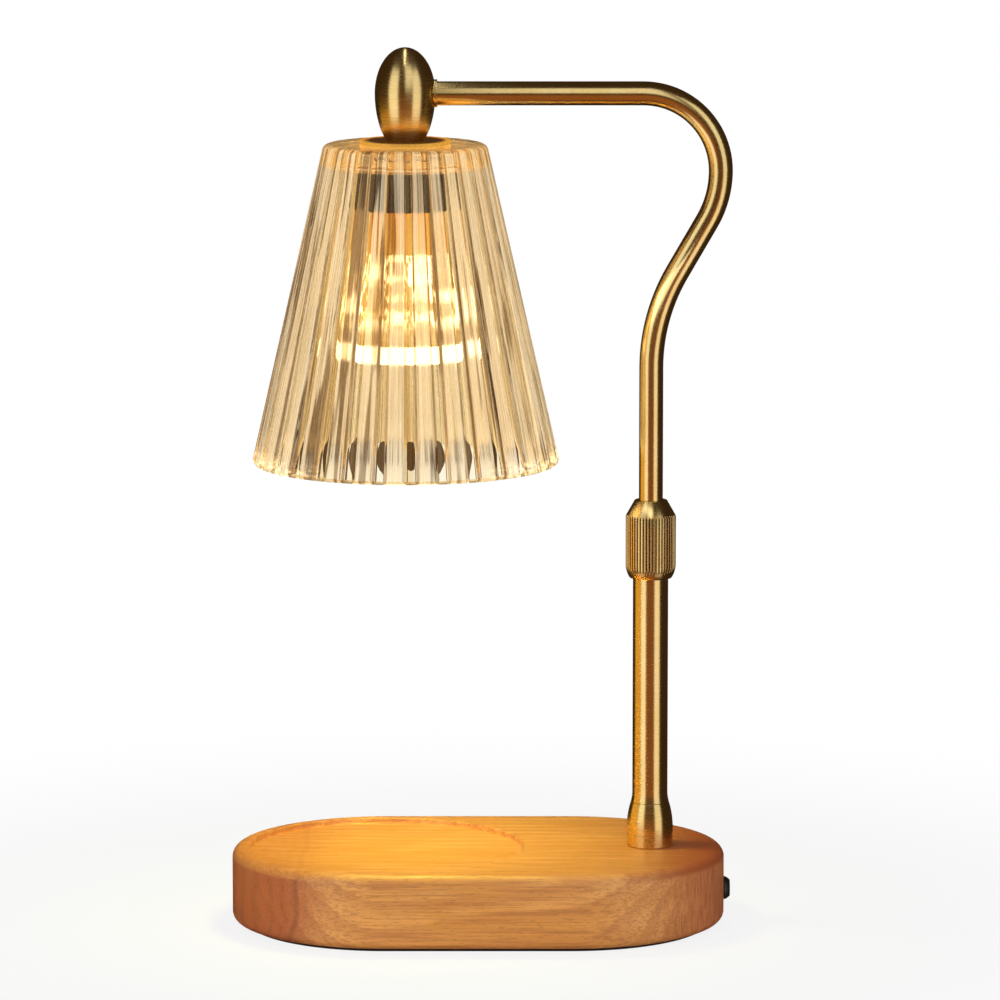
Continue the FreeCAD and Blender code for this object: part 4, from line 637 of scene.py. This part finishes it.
def clamp_nut():
    """Straight-knurled nut with a rounded foot and a smooth cone on top."""
    outside, foot, foot_length, knurl_length, nose = KNURL_RADIUS, 8.1, KNURL_FOOT, KNURL_TOP, 6.0
    knurls, depth, width, per_knurl, side_steps, cone_steps = 48, 0.45, 0.8, 12, 4, 6
    foot_edge, nose_out, nose_edge = 0.25, 0.15, 0.1
    skirt, skirt_top, thread, cone_radius, throat, bore, ledge = 6.85, 4.8, 6.55, 6.4, 5.0, 4.7, 0.2
    bush_clearance, cone_height = 1.0, 6.0
    length = NUT_HIGH.z - NUT_LOW.z
    cone_foot = box_mm("post_bush")[1].z + bush_clearance - NUT_LOW.z
    cone_top = cone_foot + cone_height
    slope = (length - knurl_length) / (outside - nose)
    outer = arc((foot, foot_edge), (outside, foot_length), 10.0, 10)
    outer += [(outside, foot_length + (knurl_length - foot_length) * k / side_steps)
              for k in range(1, side_steps + 1)]
    outer += [(outside - depth * k / cone_steps, knurl_length + depth * k / cone_steps * slope)
              for k in range(1, cone_steps + 2)]
    profile = [(skirt, 0.0), (foot - foot_edge, 0.0)] + outer
    profile += [(nose + nose_out, length - nose_edge), (nose - nose_edge, length), (bore, length),
                (bore, cone_top + ledge), (throat, cone_top + ledge), (throat, cone_top),
                (cone_radius, cone_foot), (thread, cone_foot), (thread, skirt_top), (skirt, skirt_top)]
    knurled_from = foot - 0.3

    def knurled(r, a):
        """Grooves with rounded edges in the outside, from the foot's edge until they leave the cone."""
        if r < knurled_from:
            return r
        across = abs(a / TURN * knurls % 1 - 0.5) * TURN * outside / knurls
        groove = depth * (0.5 + 0.5 * math.cos(math.pi * min(1.0, across / (width / 2))))
        return min(r, outside - groove)

    piece = lathe("clamp_nut", profile, upright(POST_X, NUT_LOW.z), knurls * per_knurl, knurled)
    finish_piece(piece, "clamp_nut", KNURLED_BRASS, "polished_brass", "clamp_nut", angle=40)


# ---------------------------------------------------------------- the arm and its head

def arm_line():
    """The arm's centre line as (x, z) points: level, round and down, back to the post, and upright."""
    bend, tail, wave, lean, offset = 29.0, 38.0, 72.0, math.radians(30), 3.3
    level, start = ARM_LEVEL, POST_X - offset
    outermost = start + bend
    drop = 1 - math.cos(lean)
    tail_at = (outermost - tail * drop, level - bend - tail * math.sin(lean))
    slope = (tail_at[0] - POST_X - wave * drop) / math.sin(lean)
    wave_at = (tail_at[0] - slope * math.sin(lean), tail_at[1] - slope * math.cos(lean))
    straight = (POST_X, wave_at[1] - wave * math.sin(lean))
    line = [(ARM_LOW.x, level), ((ARM_LOW.x + start) / 2, level)]
    line += arc((start, level), (outermost, level - bend), -bend, 24)
    line += arc((outermost, level - bend), tail_at, -tail, 12)[1:]
    line += arc(wave_at, straight, wave, 14)
    line += [(POST_X, (straight[1] + ARM_LOW.z) / 2), (POST_X, ARM_LOW.z)]
    return line


def arm_tube():
    """Bent tube with its bore, swept along the centre line."""
    wall, segments = 1.0, 48
    line = [Vector(p) for p in arm_line()]
    stations = []
    for index, here in enumerate(line):
        before = line[max(index - 1, 0)]
        after = line[min(index + 1, len(line) - 1)]
        heading = (after - before).normalized()
        stations.append((here, Vector((-heading.y, heading.x))))
    rings = []
    for radius, order in ((ARM_RADIUS, stations), (ARM_RADIUS - wall, stations[::-1])):
        for here, side in order:
            ring = []
            for k in range(segments):
                a = TURN * k / segments
                spot = here + side * radius * math.cos(a)
                ring.append((spot.x, radius * math.sin(a), spot.y))
            rings.append(ring)
    piece = rings_mesh("arm_tube", rings)
    finish_piece(piece, "arm", BENT_BRASS, "polished_brass", "arm_tube", angle=50)


def egg_head():
    """Egg-shaped head with its bore, and the flat and socket that take the arm."""
    low, high = box_mm("lamp_head")
    radius, foot, foot_edge, bore, bore_depth = (high.x - low.x) / 2, 7.1, 0.3, 5.05, 6.0
    steps, axis, near_top = 26, 0.01, 0.9999
    rise, drop = high.z - ARM_LEVEL, ARM_LEVEL - low.z
    full_drop = drop / math.sqrt(1 - (foot / radius) ** 2)
    last = math.asin(drop / full_drop)
    bore_top = drop + bore_depth
    profile = [(axis, bore_top), (bore, bore_top), (bore, 0.0), (foot - foot_edge, 0.0)]
    for k in range(steps + 1):
        a = -last + last * k / steps
        profile.append((radius * math.cos(a), drop + full_drop * math.sin(a)))
    for k in range(1, steps + 1):
        a = math.pi / 2 * k / steps * near_top
        profile.append((radius * math.cos(a), drop + rise * math.sin(a)))
    piece = spindle("lamp_head", profile, upright(SHADE_X, low.z), 128)
    flat_radius, flat_offset, socket = 5.6, 10.8, 4.55
    to_arm = along_x(SHADE_X, ARM_LEVEL)
    cutters = [
        spindle("flat_tool", [(flat_radius, flat_offset), (flat_radius, radius + 2)], to_arm),
        spindle("socket_tool", [(socket, 0.0), (socket, radius + 1)], to_arm),
    ]
    cut_away(piece, cutters)
    finish_piece(piece, "arm", MATERIALS["polished_brass"], "polished_brass", "lamp_head")


# ---------------------------------------------------------------- the glass shade

def glass_shade():
    """Pressed glass: thick flat top, even conical wall, and flutes with soft edges that narrow upwards.

    A flute is a row of (way from its middle, depth) points at the rim.
    """
    count, wall, plate, hole = 30, 4.2, 7.0, 5.4
    crown, rim, first_flute = 30.55, 57.8, math.radians(8.8)
    height = GLASS_HIGH.z - GLASS_LOW.z
    crown_round, rim_round, inner_round, hole_round = 2.6, 1.4, 2.2, 0.3
    longest_step, outer_share = 8.0, 0.6
    flute = ((0.0, 1.3), (1.3, 1.28), (1.7, 1.15), (2.2, 0.75), (2.7, 0.25), (3.1, 0.04), (3.8, 0.0))
    pitch = TURN * rim / count

    def wall_at(h):
        return rim - (rim - crown) * h / height

    offsets = [-o for o, d in flute[:0:-1]] + [o for o, d in flute] + [pitch / 2]
    depths = [d for o, d in flute[:0:-1]] + [d for o, d in flute] + [0.0]
    inner = height - plate
    outline = rounded([
        (wall_at(0) - wall, 0.0, rim_round), (wall_at(0), 0.0, rim_round), (crown, height, crown_round),
        (hole, height, hole_round), (hole, inner, hole_round),
        (wall_at(inner) - wall, inner, inner_round)], 6)
    profile = []
    for index, point in enumerate(outline):
        after = Vector(outline[(index + 1) % len(outline)])
        here = Vector(point)
        pieces = max(1, round((after - here).length / longest_step))
        profile += [tuple(here.lerp(after, k / pieces)) for k in range(pieces)]
    rings, ribs, outers = [], [], []
    for r, h in profile:
        ring = []
        scale = wall_at(h) / rim
        outside = r > wall_at(h) - wall * outer_share
        for groove in range(count):
            for offset, depth in zip(offsets, depths):
                a = first_flute + TURN * groove / count + offset / rim
                limit = wall_at(h) - depth * scale
                spot = min(r, limit)
                ring.append((SHADE_X + spot * math.cos(a), spot * math.sin(a), GLASS_LOW.z + h))
                ribs.append(1.0 - depth / flute[0][1])
                outers.append(float(outside))
        rings.append(ring)
    piece = rings_mesh("glass_shade", rings)
    for label, values in (("rib", ribs), ("outer", outers)):
        piece.data.attributes.new(label, "FLOAT", "POINT").data.foreach_set("value", values)
    finish_piece(piece, "arm", GLASS, "clear_glass", "glass_shade", angle=60)


# ---------------------------------------------------------------- CAD nodes that stay

def dress_nodes():
    """Gives every CAD node that still shows its slot's material and smooth sides."""
    slots = {part["node"]: part["material_slot"] for part in frame["record"]["subparts"]}
    for name, node in frame["nodes"].items():
        if node.hide_render:
            continue
        shade(node, 30)
        node.data.materials.clear()
        node.data.materials.append(LIT_REFLECTOR if name == "bulb_reflector" else MATERIALS[slots[name]])


# ---------------------------------------------------------------- floor, light and camera

def floor_material():
    """White to camera, metal and glass; near the object a share of it is diffuse and takes its shadow."""
    g = Graph("pale_floor")
    path = g.tree.nodes.new("ShaderNodeLightPath")
    seen = g.math("MAXIMUM", path.outputs["Is Camera Ray"], path.outputs["Is Transmission Ray"])
    seen = g.math("MAXIMUM", seen, path.outputs["Is Glossy Ray"])
    share = g.product(seen, g.ranged(g.length(g.millimetres), 120.0, 420.0, 0.85, 1.0))
    glow = g.node("ShaderNodeEmission", 0, {"Color": rgb(1, 1, 1)})
    diffuse = g.node("ShaderNodeBsdfDiffuse", 0, {"Color": rgb(0.85, 0.85, 0.85)})
    return g.surface(g.node("ShaderNodeMixShader", 0, {0: share, 1: diffuse, 2: glow}))


def floor():
    """White ground with its middle under the object."""
    half = 3000.0
    corners = [(-half, -half, 0.0), (half, -half, 0.0), (half, half, 0.0), (-half, half, 0.0)]
    piece = mesh_piece("floor", corners, [(0, 1, 2, 3)])
    piece.data.materials.append(floor_material())
    piece.visible_glossy = False


def world():
    """White behind the object for camera, metal and glass; soft grey light for the rest."""
    sky = bpy.data.worlds.new("studio")
    bpy.context.scene.world = sky
    sky.use_nodes = True
    tree = sky.node_tree
    background = tree.nodes["Background"]
    path = tree.nodes.new("ShaderNodeLightPath")
    total = tree.nodes.new("ShaderNodeMath")
    total.operation = "ADD"
    tree.links.new(path.outputs["Is Camera Ray"], total.inputs[0])
    tree.links.new(path.outputs["Is Glossy Ray"], total.inputs[1])
    seen = tree.nodes.new("ShaderNodeMath")
    seen.operation = "ADD"
    seen.use_clamp = True
    tree.links.new(total.outputs[0], seen.inputs[0])
    tree.links.new(path.outputs["Is Transmission Ray"], seen.inputs[1])
    strength = tree.nodes.new("ShaderNodeMapRange")
    strength.inputs["To Min"].default_value = 0.3
    strength.inputs["To Max"].default_value = 1.0
    tree.links.new(seen.outputs[0], strength.inputs["Value"])
    tree.links.new(strength.outputs[0], background.inputs["Strength"])
    background.inputs["Color"].default_value = rgb(1, 1, 1)


def even_glow(name, colour):
    """A studio surface that has this colour from everywhere, whatever lights it."""
    g = Graph(name)
    return g.surface(g.node("ShaderNodeEmission", 0, {"Color": colour}))


def seen_only_by(piece, *kinds):
    """Studio piece that only some kinds of ray meet."""
    for kind in ("camera", "diffuse", "glossy", "transmission", "shadow", "volume_scatter"):
        setattr(piece, f"visible_{kind}", kind in kinds)


def tent_material():
    """Brown cloth: warmer and brighter low in front, where the room is lit, and dark behind and above."""
    g = Graph("brown_cloth")
    y, z = g.coordinate("Y"), g.coordinate("Z")
    front, low = g.ranged(y, -200.0, -1100.0), g.ranged(z, 230.0, -120.0)
    colour = g.mix(low, rgb(0.06, 0.029, 0.008), rgb(0.30, 0.105, 0.033))
    colour = g.mix(front, rgb(0.042, 0.024, 0.012), colour)
    return g.surface(g.node("ShaderNodeEmission", 0, {"Color": colour}))


def dark_tent():
    """Cloth all round, closed above and below, that shows in reflections only. The lamps stand in it."""
    radius, foot, top, sides = 1200.0, -1200.0, 1600.0, 72
    rings = [[(radius * math.sin(TURN * k / sides), radius * math.cos(TURN * k / sides), z)
              for k in range(sides)] for z in (foot, top)]
    tent = rings_mesh("dark_tent", rings, closed=False)
    tent.data.materials.append(tent_material())
    seen_only_by(tent, "glossy")


def dark_strips():
    """Dark cards all round, which only glass shows: upright ones that draw the flutes, and a low band."""
    radius, low, high, count, width = 1000.0, -50.0, 900.0, 14, 170.0
    band_top, band_parts = 40.0, 48
    points, faces = [], []

    def card(a, across_width, bottom, top):
        across = Vector((math.cos(a), math.sin(a), 0.0)) * across_width / 2
        centre = Vector((math.sin(a), -math.cos(a), 0.0)) * radius
        first = len(points)
        for side, z in ((-1, bottom), (1, bottom), (1, top), (-1, top)):
            spot = centre + across * side
            points.append((spot.x, spot.y, z))
        faces.append(tuple(range(first, first + 4)))

    for k in range(count):
        card(TURN * (k + 0.5) / count, width, band_top, high)
    for k in range(band_parts):
        card(TURN * k / band_parts, TURN * radius / band_parts, low, band_top)
    strips = mesh_piece("dark_strips", points, faces)
    strips.data.materials.append(even_glow("dark_card", rgb(0.06, 0.022, 0.003)))
    seen_only_by(strips, "transmission")


def lamp(name, azimuth, elevation, distance, width, height, level, aim=(0.0, 0.0, 0.18), hidden=(),
         colour=(1.0, 1.0, 1.0)):
    """A soft box that faces aim. Azimuth 0 stands where the camera is and 90 to its right.

    Level 1 shines as white. Hidden names the kinds of ray that don't meet it.
    """
    light = bpy.data.lights.new(name, "AREA")
    light.color = colour
    light.shape = "RECTANGLE"
    light.size, light.size_y = width, height
    light.energy = level * math.pi * width * height
    piece = bpy.data.objects.new(name, light)
    bpy.context.scene.collection.objects.link(piece)
    a, e = math.radians(azimuth), math.radians(elevation)
    away = Vector((math.sin(a) * math.cos(e), -math.cos(a) * math.cos(e), math.sin(e)))
    piece.location = Vector(aim) + away * distance
    piece.rotation_euler = away.to_track_quat("Z", "Y").to_euler()
    piece.visible_camera = False
    for kind in hidden:
        setattr(piece, f"visible_{kind}", False)


def studio_lamps():
    """Two tall soft boxes in front, two that show in no reflection, and four that show only there."""
    reflected_only, lighting_only = ("diffuse", "transmission"), ("glossy", "transmission")
    above_head, above_arm = (SHADE_X * MM, 0.0, 0.325), (0.065, 0.0, 0.315)
    nut_cone, post_middle = (POST_X * MM, 0.0, 0.157), (0.065, 0.0, 0.075)
    # Azimuth and elevation in degrees; distance, width and height in metres; level.
    lamp("soft_left", -46, 0, 0.85, 0.56, 1.6, 1.1)
    lamp("soft_right", 46, 0, 0.85, 0.52, 1.6, 0.98)
    lamp("soft_back", 180, 44, 0.85, 0.5, 0.6, 0.7, hidden=("glossy",))
    lamp("head_strip", 0, 90, 0.11, 0.011, 0.16, 3.0, aim=above_head, hidden=reflected_only)
    lamp("soft_front", -8, 24, 1.1, 0.5, 0.5, 1.6, hidden=lighting_only)
    lamp("arm_strip", 0, 30, 0.35, 0.16, 0.3, 0.95, aim=above_arm, hidden=reflected_only)
    lamp("nut_strip", -30, 62, 0.1, 0.075, 0.04, 1.5, aim=nut_cone, hidden=reflected_only)
    lamp("warm_left", -92, 0, 0.4, 0.36, 0.26, 0.85, aim=post_middle, hidden=reflected_only,
         colour=(1.0, 0.54, 0.08))


def bulb_light():
    """The bulb's warm beam, which falls through the shade's mouth on the base."""
    below = 1.0
    light = bpy.data.lights.new("bulb_beam", "AREA")
    light.shape = "DISK"
    light.size = 0.042
    light.energy = 0.108
    light.spread = math.radians(92)
    light.color = (0.94, 0.94, 0.12)
    beam = bpy.data.objects.new("bulb_beam", light)
    bpy.context.scene.collection.objects.link(beam)
    beam.location = (SHADE_X * MM, 0.0, (box_mm("bulb_bezel")[0].z - below) * MM)
    beam.visible_camera = False
    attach(beam, "bulb")


def camera():
    """The photograph's camera, fitted to it: 8.9 degrees down, 2.58 m away, long lens."""
    data = bpy.data.cameras.new("camera")
    data.lens = 246.6
    data.sensor_width = 36.0
    piece = bpy.data.objects.new("camera", data)
    bpy.context.scene.collection.objects.link(piece)
    aim, pitch, distance = Vector((0.00828, 0.0, 0.1618)), 0.155, 2.5756
    away = Vector((0.0, -math.cos(pitch), math.sin(pitch)))
    piece.location = aim + away * distance
    piece.rotation_euler = away.to_track_quat("Z", "Y").to_euler()
    bpy.context.scene.camera = piece


camera()
wood_block()
cord_inlet()
ferrule()
post()
clamp_nut()
arm_tube()
egg_head()
glass_shade()
dress_nodes()
floor()
world()
dark_tent()
dark_strips()
studio_lamps()
bulb_light()
bpy.context.scene.view_settings.view_transform = "Standard"
